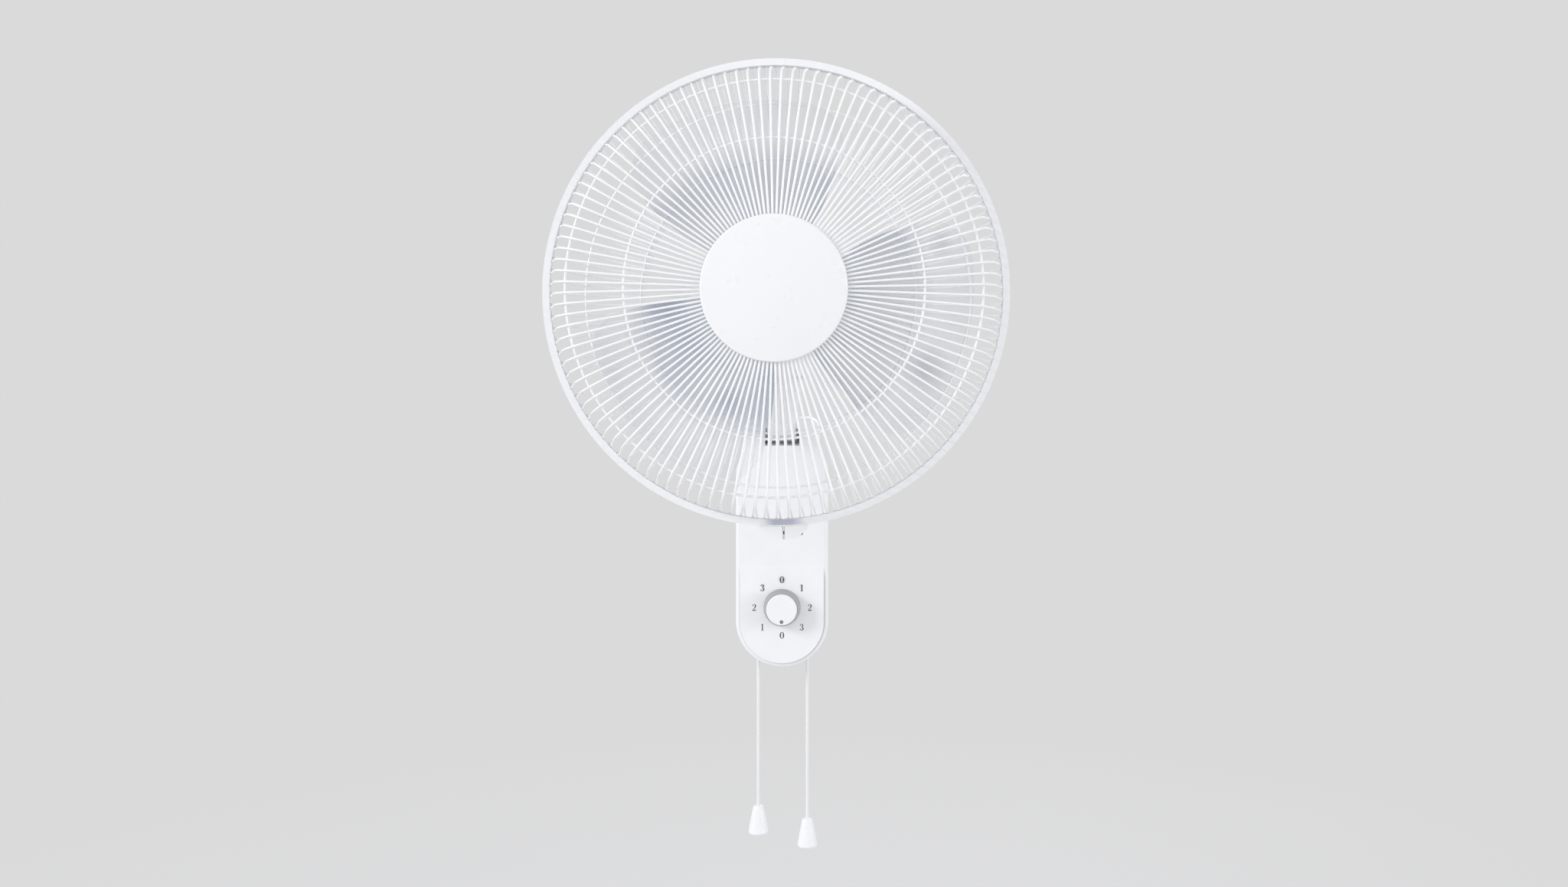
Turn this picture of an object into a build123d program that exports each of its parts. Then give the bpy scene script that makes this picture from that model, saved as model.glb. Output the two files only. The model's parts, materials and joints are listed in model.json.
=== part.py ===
"""Wall-mounted fan with a tilting neck, a swinging head, a guarded three-blade rotor,
a speed knob and two pull cords.

Millimetres. The wall is the plane Y = 0 and the fan stands out of it towards -Y, with +Z up
and +X to the right of someone who faces it. The origin is the centre of the wall plate's four
screw holes, on the wall. A distance named "..._out" is measured from the wall into the room,
so a point whose out is 70 has Y = -70.
"""

from build123d import *
import os
from math import asin, atan, cos, degrees, hypot, radians, sin, sqrt, tan

os.makedirs("parts", exist_ok=True)

# ---------------------------------------------------------------- fits and gaps
running_fit = 0.06      # radial play of a shaft or rod that turns or slides in its bore
seat_gap = 0.1          # play between a piece and what it is seated on
free_gap = 0.3          # least gap between pieces of different bodies
press_gap = 0.02        # radial play of a pin, screw or bush that is fixed in its hole
weld_gap = 0.05         # between a guard wire and a ring that it is welded to
same_place = 0.01       # two points closer than this count as one

# ---------------------------------------------------------------- main places
head_z = 250.0          # rotor axis above the wall plate's centre
swing_out = 128.0       # upright axis on which the head swings
tilt_out = 42.0         # level axis on which the neck tilts
tilt_z = 106.0

# ---------------------------------------------------------------- base
base_width = 100.0
base_round_z = -93.0    # centre of the half-round lower end
base_depth = 68.0
base_back = 0.5         # the rear shell stands this far off the wall
joint_setback = 6.0     # the two shells meet this far behind the tilt axis
base_wall = 2.5
base_edge = 4.0         # rounding of the front edge
base_shoulder = 30.0    # rounding where the sides start to draw in
shoulder_drop = 36.0    # the straight sides end this far below the tilt axis
slope_drop = 26.0       # seen from the side, the ears draw in from here
ear_drop = 10.0         # the sides have drawn in to the ears' width here
ear_width = 82.0        # over both ears
ear_round = 20.0        # round top of the ears, seen from the side
ear_corner = 13.0       # round top corners of the ears, seen from the front
ear_cheek = 6.0         # thickness of an ear's inner wall, which carries the tilt bolt
notch_width = 37.0      # between the ears
notch_play = 0.5        # between the neck's barrel and the floor of the notch
panel_inset = 4.5       # the raised control panel inside the base's outline
panel_rise = 2.0
panel_top_z = -32.5     # where the panel starts to rise out of the shell
panel_ramp = 30.0       # height over which it rises
boss_side = 40.0        # the four screws that join the shells
boss_z = 62.0
boss_radius = 4.5
pilot_radius = 1.5
screw_seat_out = 8.0
screw_head_radius = 3.0
screw_head_height = 2.2
screw_bite = 14.0
head_play = 0.3         # radial play of the screws' heads and shanks in the rear shell
shank_play = 0.2
cap_rim = 1.6           # the caps over the tilt bolt overlap their holes by this
cap_flange = 1.0

# ---------------------------------------------------------------- wall plate
plate_width = 56.0
plate_height = 110.0
plate_thickness = 3.0
plate_corner = 6.0
plate_hole_radius = 2.4
plate_hole_sink = 1.8
plate_hole_side = 10.0  # the four screw holes' distances from the plate's edges
plate_hole_end = 17.0
window_width = 20.0
window_height = 40.0
window_corner = 3.0
pocket_depth = 11.0     # recess in the rear shell that takes the wall plate
pocket_gap = 1.5
hook_width = 12.0
hook_spacing = 34.0
hook_end = 11.0         # from the plate's upper edge down to the hooks
hook_thickness = 4.0
hook_lip = 5.0
lip_thickness = 2.5
hook_slide = 1.5        # room for the hooks to slide down in their slots

# ---------------------------------------------------------------- control knob and switches
dial_rise = 15.0        # knob's axis above the centre of the round lower end
knob_radius = 20.0
knob_cap_radius = 16.5
knob_shoulder = 1.0     # the body is wider than its cap by this
knob_skirt = 3.5
skirt_taper = 0.6
knob_height = 15.0
knob_roof = 3.0
knob_wall = 2.5
knob_flank = 1.5
knob_cap_height = 2.0
knob_cap_round = 1.2
knob_shaft_radius = 3.0
knob_dimple_radius = 1.7
dimple_inset = 3.7
dimple_floor = 0.8
switch_width = 34.0
switch_depth = 22.0
switch_corner = 3.0
cord_x = 27.0           # the two pull cords, left and right of the middle
rod_radius = 2.0
pull_travel = 10.0
guide_size = 10.0
guide_lap = 6.0         # depth over which the rod's guide joins the switch
tag_count = 4           # solder tags
tag_pitch = 6.0
tag_top = 10.0
tag_inset = 6.0
tag_width = 4.0
tag_thickness = 0.8
tag_length = 5.5
tag_reach = 5.0
osc_switch_z = -40.0
osc_switch_height = 24.0
osc_switch_width = 18.0
osc_switch_corner = 2.0
osc_tag_side = 4.0
osc_tag_rise = 4.0
socket_radius = 3.2
socket_length = 8.0
socket_roof = 2.0
bush_radius = 4.2
bush_play = 0.5         # between a cord and its bush
bush_flange = 5.6
bush_flange_thickness = 1.5
bush_lift = 0.2         # the bush flanges stand this far off the curved shell
bush_stand = 2.4        # the bushes reach this far out of the shell
gland_radius = 6.0
gland_bore = 3.6
gland_out = 20.0
gland_rim = 2.0
gland_rim_height = 2.4
gland_lift = 0.7        # the gland's nut stands this far off the curved shell
gland_nut_rim = 1.2
gland_nut_height = 1.8
capacitor_z = 24.0
capacitor_width = 38.0
capacitor_height = 24.0
capacitor_depth = 16.0
capacitor_corner = 3.0
capacitor_tag_side = 10.0
capacitor_tag_height = 5.0
block_z = -4.0          # terminal block
block_width = 40.0
block_height = 16.0
block_depth = 10.0
pole_count = 4
pole_pitch = 9.0
pole_radius = 2.4
pole_depth = 6.0

# ---------------------------------------------------------------- pull cords and bells
cord_radius = 1.7
speed_bell_z = -300.5   # top of each bell
osc_bell_z = -315.0
bell_height = 32.0
bell_top_radius = 5.6
bell_top_flat = 2.6
bell_top_drop = 1.1
bell_neck = 3.6         # height of the rounded top
bell_neck_swell = 0.5
bell_flare = 12.8       # the sides steepen at this height above the foot
bell_flare_inset = 1.6
bell_bottom_radius = 10.8
bell_foot_flat = 3.0
bell_foot_round = 3.5
bell_foot_corner = 0.9
bell_cavity_radius = 6.4
bell_cavity_height = 19.2
cord_tail = 3.0         # the cord ends this far inside the bell's hollow

# ---------------------------------------------------------------- neck
barrel_radius = 9.0
washer_room = 1.5       # between each end of the barrel and its ear
arm_inset = 2.0         # the arm is narrower than the barrel by this at each side
arm_upper = (-0.6, 0.8)     # directions in which the arm's two edges leave the barrel
arm_lower = (0.45, -0.89)
arm_reach = 20.0
arm_cover = 4.0
arm_foot_inset = 8.0
tilt_bolt_radius = 3.0
tilt_bolt_end = 4.0
tilt_head_radius = 5.0
tilt_head_height = 4.0
tilt_nut_radius = 5.4
tilt_nut_height = 5.0
hex_sides = 6
cup_radius = 23.5
cup_foot_radius = 15.0
cup_height = 56.0
cup_band = 10.0         # straight upper part of the cup
cup_well_radius = 11.0
swing_bush_radius = 8.0
swing_bush_length = 32.0
swing_flange_radius = 9.4
swing_flange = 1.5

# ---------------------------------------------------------------- swing drive under the motor
swing_pin_radius = 4.5
swing_collar_radius = 8.5
swing_collar = 2.8
swing_shoulder_radius = 7.5
swing_shoulder = 4.0
swing_spigot_radius = 4.0
swing_screw_radius = 2.0
swing_screw_length = 12.0
swing_head_radius = 3.8
swing_head_height = 2.6
washer_thickness = 1.5
washer_lap = 1.2
cradle_drop = 6.0       # from the motor frames' rim down to the plate that carries them
cradle_thickness = 3.0
cradle_half = 14.0
cradle_wide = 25.0      # the plate's reach to the right, under the drive motor
cradle_back = 13.0      # and behind the drive motor's middle
cradle_flare = 6.0
cradle_upstand = 13.0
cup_drop = 16.0         # from that plate's underside down to the neck's cup
crank_back = 16.0       # crank's centre behind the swing axis
swing_reach = 40.0      # degrees to each side
crank_drop = 6.0
crank_thickness = 3.5
crank_hub = 5.0
crank_eye = 3.2
crank_width = 6.0
crank_pin_radius = 2.0
crank_pin_end = 0.4
link_gap = 1.4
link_thickness = 2.0
link_width = 4.0
link_eye = 1.2
post_radius = 2.2
post_foot = 0.4
post_foot_height = 1.0
drive_shaft_radius = 2.0
drive_shaft_play = 1.5
drive_motor_radius = 15.5
drive_motor_height = 10.5

# ---------------------------------------------------------------- motor
drum_radius = 65.0
drum_wall = 2.5
drum_front_round = 10.0
drum_back_round = 14.0
nose_round = 5.0
tail_round = 8.4
nose_room = 5.85        # between the front frame and the drum's nose
nose_hole_play = 0.4
joint_room = 12.0       # the covers meet this far behind the front frame
tail_room = 20.0        # between the shaft's end and the drum's back
skirt_radius = 34.0
skirt_lap = 7.0         # the skirt hangs this far past the top of the neck's cup
vent_count = 30
vent_width = 2.4
vent_circle = 29.0
vent_length = 22.0
shaft_radius = 4.0
shaft_tail = 6.0
shaft_chamfer = 0.8
shaft_washer_radius = 6.5
frame_reach = 46.0      # front frame ahead of the swing axis
frame_room = 12.5       # between the frames and the drum
frame_thickness = 4.0
frame_screw_inset = 3.5
frame_screw_radius = 1.7
frame_screw_count = 4
frame_screw_start = 45.0
frame_head_radius = 3.2
frame_head_height = 2.4
frame_hub_radius = 26.0
frame_arm_width = 9.0
frame_arm_lap = 6.0
stator_inset = 3.5      # stator inside the frame screws' circle
stator_depth = 18.5     # from its outside to its bore
stator_length = 30.0
stator_slots = 16
slot_mouth = 2.4
slot_mouth_length = 4.0
slot_width = 5.0
slot_margin = 2.0
rib_width = 9.0
rib_sink = 1.2
air_gap = 0.4
winding_length = 7.0
winding_round = 2.4
winding_margin = 2.5
winding_clear = 3.0
end_room_front = 3.0    # between the windings and the frames
end_room_back = 5.0
end_ring_length = 3.0
end_ring_width = 5.0
bearing_radius = 8.0
bearing_length = 12.0
bearing_housing = 4.0
bearing_lap_front = 2.0
bearing_lap_back = 6.0
boss_thread_radius = 16.5
boss_over = 3.1         # the threaded boss reaches this far through the lock nut

# ---------------------------------------------------------------- guard
wire_count = 120
wire_radius = 1.0
ring_radius = 1.1
rim_radius = 220.4
rim_wall = 1.2
rim_ring_radius = 2.0
rim_ring_gap = 0.8      # between the rim rings and the band's wall
lip_over = 0.4          # the band's lips reach this far past the rim rings
inner_ring_circle = 136.0
outer_ring_inset = 26.4
front_depth = 69.5      # front wires ahead of the rim plane, at the middle
front_fall = 4.5        # and how much less at their shoulder
front_shoulder_inset = 19.4
front_bend = 22.0
rear_depth = 71.0
rear_fall = 9.0
rear_shoulder_inset = 31.4
rear_bend = 30.0
wire_end_depth = 1.2
wire_phase = 1.1        # degrees between the front and the rear wires
lock_nut_radius = 40.0
lock_nut_height = 8.0
nut_flange = 2.5
nut_bevel = 3.0
nut_bevel_height = 1.0
nut_top_inset = 5.0
nut_grips = 12
nut_grip_radius = 4.0
wire_nut_gap = 8.0      # between the lock nut and the wires' inner ends
front_plate_lap = 12.0  # the plates reach this far past the wires' inner ends
rear_plate_lap = 14.0
guard_plate = 1.5
plate_window_radius = 12.0
badge_lap = 6.5         # the badge overlaps the front plate by this
badge_rise = 7.0
badge_wall = 2.0
badge_edge = 3.0
badge_round = 1.6
badge_pegs = 3
badge_peg_start = 30.0
badge_peg_circle = 30.0
badge_peg_radius = 2.5
badge_peg_tail = 3.0
badge_peg_sink = 0.5    # the pegs stop this far short of the badge's middle
clamp_turn = 1.8        # degrees from straight down to the rim clamp
clamp_reach = 12.4      # the clamp's lugs stand this far out of the rim
clamp_top_width = 23.0
clamp_foot_width = 10.0
clamp_foot_flare = 2.0
clamp_edge = 2.0        # height of the lugs' straight upper part
clamp_round = 3.0
clamp_root = 4.0
clamp_split = 1.0
clamp_screw_reach = 6.6
clamp_screw_radius = 1.5
clamp_screw_end = 4.0
clamp_head_radius = 2.8
clamp_head_height = 3.6
clamp_seat = 14.5       # the clamp screw's head sits this far from the split
clamp_seat_width = 6.4
clamp_seat_wall = 2.0
clamp_nut_radius = 2.9
clamp_nut_height = 2.4
clamp_bridge = 21.0     # grey bridge under the clamp, to each side of the split

# ---------------------------------------------------------------- rotor
blade_setback = 8.0     # middle plane of the blades behind the rim plane
hub_radius = 46.0
hub_wall = 2.5
hub_half_depth = 26.0
hub_bevel = 8.0
hub_bevel_height = 6.0
hub_boss_radius = 10.0
hub_boss_tail = 4.0
blade_count = 3
blade_first = 103.0     # degrees, anticlockwise from +X in the front view
blade_tip_inset = 29.4  # blade tips inside the rim rings
blade_thickness = 2.0
blade_lead = 35.0       # degrees from the middle line to the leading tip corner
blade_trail = 38.0      # degrees to the trailing tip corner
blade_root_turn = 40.0
bow_inset = 69.0        # the blades' edges bow out most this far inside the tip
lead_bow = 4.0
trail_bow = 7.0
lead_round = 34.0
trail_round = 40.0
sheet_start = 10.0      # the sheet that a blade is cut from starts inside the hub
sheet_over = 5.0        # and reaches past the tip
sheet_margin = 4.87     # and past the tip's trailing corner
drive_pin_radius = 1.5
drive_pin_length = 18.0
spinner_radius = 17.0
spinner_height = 22.0
spinner_flange = 5.0
spinner_step = 2.0
spinner_step_inset = 3.5
spinner_nose = 3.0
spinner_nose_radius = 8.0
spinner_tip_radius = 5.0
spinner_roof = 6.0
spinner_grips = 8
spinner_grip_radius = 3.2
spinner_grip_depth = 1.6
spinner_grip_length = 6.0

# ---------------------------------------------------------------- places that follow
base_joint = tilt_out - joint_setback
base_shoulder_z = tilt_z - shoulder_drop
base_slope_z = tilt_z - slope_drop
ear_foot_z = tilt_z - ear_drop
notch_z = tilt_z - barrel_radius - notch_play
barrel_width = notch_width - 2 * washer_room
arm_width = barrel_width - 2 * arm_inset
hook_z = plate_height / 2 - hook_end
plate_hole_x = plate_width - 2 * plate_hole_side
plate_hole_z = plate_height - 2 * plate_hole_end
dial_z = base_round_z + dial_rise
cord_out = base_joint

frame_radius = drum_radius - drum_wall - frame_room
frame_screw_circle = frame_radius - frame_screw_inset
stator_radius = frame_screw_circle - stator_inset
stator_bore = stator_radius - stator_depth
winding_outer = stator_radius - winding_margin
winding_inner = stator_bore + winding_clear

cradle_z = head_z - frame_radius - cradle_drop     # underside of the plate under the motor
crank_z = cradle_z - crank_drop
link_z = crank_z - link_gap - link_thickness
cup_top_z = cradle_z - cup_drop
cup_taper_top_z = cup_top_z - cup_band
cup_foot_z = cup_top_z - cup_height
swing_bush_z = cup_top_z - swing_bush_length
skirt_z = cup_top_z - skirt_lap
crank_side = swing_flange_radius + post_radius + post_foot     # crank's centre beside the axis

frame_front_out = swing_out + frame_reach
stator_back_out = frame_front_out - end_room_front - winding_length - stator_length
frame_back_out = stator_back_out - winding_length - end_room_back - frame_thickness
bearing_front_out = frame_front_out - bearing_lap_front
bearing_back_out = frame_back_out - bearing_lap_back
shaft_back_out = bearing_back_out - shaft_tail
drum_back_out = shaft_back_out - tail_room
drum_joint_out = frame_front_out - joint_room
drum_nose_out = frame_front_out + frame_thickness + nose_room + drum_wall
plate_front_out = drum_nose_out + seat_gap / 2 + guard_plate     # front of the rear guard plate
boss_front_out = plate_front_out + lock_nut_height + boss_over
rim_out = plate_front_out + seat_gap + wire_radius + rear_depth     # where the guards meet
rotor_out = rim_out - blade_setback

rim_ring_circle = rim_radius - rim_wall - rim_ring_gap - rim_ring_radius
rim_lip = rim_wall + rim_ring_gap + 2 * rim_ring_radius + lip_over
ring_circles = (inner_ring_circle, rim_ring_circle - outer_ring_inset)
wire_start_circle = lock_nut_radius + wire_nut_gap
front_shoulder = (rim_ring_circle - front_shoulder_inset, front_depth - front_fall)
rear_shoulder = (rim_ring_circle - rear_shoulder_inset, rear_depth - rear_fall)
front_plate_radius = wire_start_circle + front_plate_lap
rear_plate_radius = wire_start_circle + rear_plate_lap
badge_radius = front_plate_radius + badge_lap
blade_tip = rim_ring_circle - blade_tip_inset


def facing_out(distance, height=0.0, side=0.0):
    """Plane that faces the room, with its X to the right and its Y up."""
    return Plane(origin=(side, -distance, height), x_dir=(1, 0, 0), z_dir=(0, -1, 0))


def facing_up(height, side=0.0, distance=0.0):
    """Level plane, with its X to the right and its Y towards the wall."""
    return Plane(origin=(side, -distance, height), x_dir=(1, 0, 0), z_dir=(0, 0, 1))


def facing_right(side, distance, height):
    """Plane square to the X axis, facing right."""
    return Plane(origin=(side, -distance, height), x_dir=(0, -1, 0), z_dir=(1, 0, 0))


from_the_side = Plane(origin=(0, 0, 0), x_dir=(0, -1, 0), z_dir=(-1, 0, 0))
head_side = Plane(origin=(0, 0, head_z), x_dir=(0, -1, 0), z_dir=(-1, 0, 0))
head_axis = Axis((0, 0, head_z), (0, -1, 0))


def rod(plane, radius, length, bore=0.0, mode=Mode.ADD):
    """Round bar or tube that stands on a plane."""
    with BuildSketch(plane) as section:
        Circle(radius)
        if bore:
            Circle(bore, mode=Mode.SUBTRACT)
    extrude(section.sketch, amount=length, mode=mode)


def bar(plane, width, height, length, corner=0.0, mode=Mode.ADD):
    """Square bar that stands on a plane."""
    with BuildSketch(plane) as section:
        if corner:
            RectangleRounded(width, height, corner)
        else:
            Rectangle(width, height)
    extrude(section.sketch, amount=length, mode=mode)


def turned(points, plane, axis, mode=Mode.ADD):
    """Solid of revolution from a closed outline of straight lines."""
    with BuildSketch(plane) as section:
        with BuildLine():
            Polyline(*points, close=True)
        make_face()
    revolve(section.sketch, axis=axis, mode=mode)


pan_rounding = 0.4      # shares of a screw head's height and radius
cross_depth = 0.5
cross_length = 1.1
cross_width = 0.25


def pan_screw(shank_radius, length, head_radius, head_height):
    """Pan-head screw along +Z, with the seat of its head at the origin and its shank above."""
    with BuildPart() as screw:
        rod(Plane.XY.offset(-head_height), head_radius, head_height)
        fillet(screw.faces().sort_by(Axis.Z)[0].edges(), head_height * pan_rounding)
        rod(Plane.XY, shank_radius, length)
        for turn in (0, 90):
            with BuildSketch(Plane.XY.offset(-head_height)):
                Rectangle(head_radius * cross_length, head_radius * cross_width, rotation=turn)
            extrude(amount=head_height * cross_depth, mode=Mode.SUBTRACT)
    return screw.part


def keep(block, label):
    """Name a finished piece and write it."""
    block.part.label = label
    export_step(block.part, f"parts/{label}.step")


# ================================================================ base shells
def base_form(inset, back, edge=0.0):
    """The base's whole form from the plane back outwards, drawn in by inset all round."""
    half = base_width / 2 - inset
    ear_half = ear_width / 2 - inset
    ear_top = tilt_z + ear_round - inset
    front = base_depth - inset
    with BuildPart() as form:
        with BuildSketch(facing_out(back)) as outline:
            with BuildLine():
                Polyline(
                    (half, base_round_z), (half, base_shoulder_z), (ear_half, ear_foot_z),
                    (ear_half, ear_top), (-ear_half, ear_top), (-ear_half, ear_foot_z),
                    (-half, base_shoulder_z), (-half, base_round_z),
                )
                ThreePointArc((-half, base_round_z), (0, base_round_z - half), (half, base_round_z))
            make_face()
            fillet(outline.vertices().group_by(Axis.Y)[-1], ear_corner - inset)
            shoulders = [v for v in outline.vertices() if abs(v.Y - base_shoulder_z) < same_place]
            fillet(shoulders, base_shoulder)
        extrude(amount=front - back)
        if edge:
            fillet(form.faces().sort_by(Axis.Y)[0].edges(), edge)
        with BuildSketch(from_the_side):
            radius = ear_round - inset
            slope = base_slope_z - inset
            low = base_round_z - base_width
            with BuildLine():
                Polyline(
                    (tilt_out - radius, tilt_z), (-1, slope), (-1, low), (front, low),
                    (front, slope), (tilt_out + radius, tilt_z), close=True,
                )
            make_face()
            with Locations((tilt_out, tilt_z)):
                Circle(radius)
        extrude(amount=base_width, both=True, mode=Mode.INTERSECT)
        with BuildSketch(facing_out(0)):
            with Locations((0, notch_z - inset)):
                Rectangle(notch_width + 2 * inset, base_width, align=(Align.CENTER, Align.MIN))
        extrude(amount=base_depth, mode=Mode.SUBTRACT)
    return form.part


base_outer = base_form(0.0, base_back, base_edge)
base_inner = base_form(base_wall, base_back + base_wall)

panel_out = base_depth + panel_rise
front_wall_out = base_depth - base_wall
base_bottom_z = base_round_z - base_width / 2
cheek_x = notch_width / 2 + ear_cheek
bolt_boss_radius = tilt_out - base_joint - seat_gap
cap_hole_radius = bolt_boss_radius
boss_spots = [(side * boss_side, turn * boss_z) for side in (-1, 1) for turn in (-1, 1)]
floor_back = base_back + pocket_depth            # the pocket's floor, seen from the wall
floor_front = floor_back + base_wall
bush_hole_radius = bush_radius + seat_gap
pilot_hole_radius = pilot_radius + press_gap
shaft_hole_radius = knob_shaft_radius + 1.0

with BuildPart() as base_front_shell:
    add(base_outer)
    add(base_inner, mode=Mode.SUBTRACT)
    split(bisect_by=facing_out(base_joint), keep=Keep.TOP)
    with BuildSketch(facing_out(base_depth)):
        panel_radius = base_width / 2 - panel_inset
        with Locations((0, base_round_z)):
            Circle(panel_radius)
            Rectangle(
                2 * panel_radius, panel_top_z - base_round_z, align=(Align.CENTER, Align.MIN)
            )
    extrude(amount=panel_rise)
    with BuildSketch(from_the_side):
        with BuildLine():
            Polyline(
                (base_depth, panel_top_z), (panel_out, panel_top_z - panel_ramp),
                (panel_out + 1, panel_top_z - panel_ramp), (panel_out + 1, panel_top_z + 1),
                (base_depth, panel_top_z + 1), close=True,
            )
        make_face()
    extrude(amount=base_width, both=True, mode=Mode.SUBTRACT)
    for x, z in boss_spots:
        rod(facing_out(base_joint, z, x), boss_radius, front_wall_out - base_joint)
        rod(facing_out(base_joint, z, x), pilot_hole_radius, screw_bite + 2, mode=Mode.SUBTRACT)
    rod(facing_out(front_wall_out - 1, dial_z), shaft_hole_radius, panel_rise + base_wall + 2,
        mode=Mode.SUBTRACT)
    for side in (-1, 1):
        cheek = facing_right(side * notch_width / 2 - (ear_cheek if side < 0 else 0), tilt_out, tilt_z)
        rod(cheek, bolt_boss_radius, ear_cheek)
        rod(facing_up(base_bottom_z - 1, side * cord_x, cord_out), bush_hole_radius,
            base_width / 2, mode=Mode.SUBTRACT)
    rod(facing_right(-cheek_x - 1, tilt_out, tilt_z), tilt_bolt_radius + press_gap, 2 * cheek_x + 2,
        mode=Mode.SUBTRACT)
    for side in (-1, 1):
        wall = facing_right(side * (ear_width / 2 + (1 if side < 0 else -base_wall - 1)), tilt_out,
                            tilt_z)
        rod(wall, cap_hole_radius, base_wall + 2, mode=Mode.SUBTRACT)

with BuildPart() as base_rear_shell:
    add(base_outer)
    add(base_inner, mode=Mode.SUBTRACT)
    split(bisect_by=facing_out(base_joint), keep=Keep.BOTTOM)
    pocket_width = plate_width + 2 * pocket_gap
    pocket_height = plate_height + 2 * pocket_gap
    bar(facing_out(base_back), pocket_width + 2 * base_wall, pocket_height + 2 * base_wall,
        pocket_depth + base_wall)
    bar(facing_out(0), pocket_width, pocket_height, floor_back, mode=Mode.SUBTRACT)
    for x, z in boss_spots:
        rod(facing_out(base_back, z, x), boss_radius, base_joint - base_back)
        rod(facing_out(0, z, x), screw_head_radius + head_play, screw_seat_out, mode=Mode.SUBTRACT)
        rod(facing_out(0, z, x), pilot_radius + shank_play, base_joint + 1, mode=Mode.SUBTRACT)
    for side in (-1, 1):
        slot_height = hook_thickness + hook_lip + hook_slide
        slot_top = hook_z + hook_thickness / 2 + seat_gap
        bar(facing_out(floor_back - 1, slot_top - slot_height / 2, side * hook_spacing / 2),
            hook_width + 1, slot_height, base_wall + 2, mode=Mode.SUBTRACT)
        rod(facing_up(base_bottom_z - 1, side * cord_x, cord_out), bush_hole_radius,
            base_width / 2, mode=Mode.SUBTRACT)
    rod(facing_up(base_bottom_z - 1, 0, gland_out), gland_radius + seat_gap, base_wall + 2,
        mode=Mode.SUBTRACT)

with BuildPart() as wall_plate:
    bar(facing_out(0), plate_width, plate_height, plate_thickness, corner=plate_corner)
    with Locations(facing_out(plate_thickness)):
        with GridLocations(plate_hole_x, plate_hole_z, 2, 2):
            CounterSinkHole(plate_hole_radius, plate_hole_radius + plate_hole_sink)
    bar(facing_out(-1), window_width, window_height, plate_thickness + 2, corner=window_corner,
        mode=Mode.SUBTRACT)
    for side in (-1, 1):
        stem = facing_out(plate_thickness, hook_z, side * hook_spacing / 2)
        bar(stem, hook_width, hook_thickness, floor_front + seat_gap + lip_thickness - plate_thickness)
        lip = facing_out(floor_front + seat_gap, hook_z + hook_lip / 2, side * hook_spacing / 2)
        bar(lip, hook_width, hook_thickness + hook_lip, lip_thickness)

base_screw = pan_screw(pilot_radius, base_joint - screw_seat_out + screw_bite, screw_head_radius,
                       screw_head_height)
with BuildPart() as base_screws:
    with Locations(*[facing_out(screw_seat_out, z, x) for x, z in boss_spots]):
        add(base_screw)

gland_seat_z = base_bottom_z - seat_gap
gland_nut_z = base_bottom_z + base_wall + gland_lift
with BuildPart() as cable_gland:
    rod(facing_up(gland_seat_z - gland_rim_height, 0, gland_out), gland_radius + gland_rim,
        gland_rim_height, bore=gland_bore)
    rod(facing_up(gland_seat_z, 0, gland_out), gland_radius, gland_nut_z - gland_seat_z,
        bore=gland_bore)
    rod(facing_up(gland_nut_z, 0, gland_out), gland_radius + gland_nut_rim, gland_nut_height,
        bore=gland_bore)

inner_round = base_width / 2 - base_wall
bush_seat_z = base_round_z - sqrt(inner_round ** 2 - (cord_x + bush_flange) ** 2) + bush_lift
bush_top_z = bush_seat_z + bush_flange_thickness
bush_bore = cord_radius + bush_play
bush_foot_z = base_round_z - sqrt((base_width / 2) ** 2 - cord_x ** 2) - bush_stand
with BuildPart() as cord_bushes:
    for side in (-1, 1):
        rod(facing_up(bush_foot_z, side * cord_x, cord_out), bush_radius, bush_top_z - bush_foot_z,
            bore=bush_bore)
        rod(facing_up(bush_seat_z, side * cord_x, cord_out), bush_flange, bush_flange_thickness,
            bore=bush_bore)

with BuildPart() as tilt_bolt:
    rod(facing_right(-cheek_x, tilt_out, tilt_z), tilt_bolt_radius,
        2 * cheek_x + tilt_nut_height + tilt_bolt_end)
    with BuildSketch(facing_right(-cheek_x - tilt_head_height, tilt_out, tilt_z)):
        RegularPolygon(tilt_head_radius, hex_sides)
    extrude(amount=tilt_head_height)
with BuildPart() as tilt_nut:
    with BuildSketch(facing_right(cheek_x, tilt_out, tilt_z)):
        RegularPolygon(tilt_nut_radius, hex_sides)
        Circle(tilt_bolt_radius + press_gap, mode=Mode.SUBTRACT)
    extrude(amount=tilt_nut_height)
with BuildPart() as tilt_washers:
    for side in (-1, 1):
        thickness = washer_room - 2 * seat_gap
        near = side * (barrel_width / 2 + seat_gap) - (thickness if side < 0 else 0)
        rod(facing_right(near, tilt_out, tilt_z), barrel_radius, thickness,
            bore=tilt_bolt_radius + press_gap)
with BuildPart() as ear_caps:
    for side in (-1, 1):
        outer = ear_width / 2
        plug = facing_right(side * (outer + seat_gap) - (base_wall if side > 0 else 0), tilt_out, tilt_z)
        rod(plug, cap_hole_radius - seat_gap, base_wall)
        flange = facing_right(side * (outer + seat_gap) - (cap_flange if side < 0 else 0), tilt_out,
                              tilt_z)
        rod(flange, cap_hole_radius + cap_rim, cap_flange)

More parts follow.
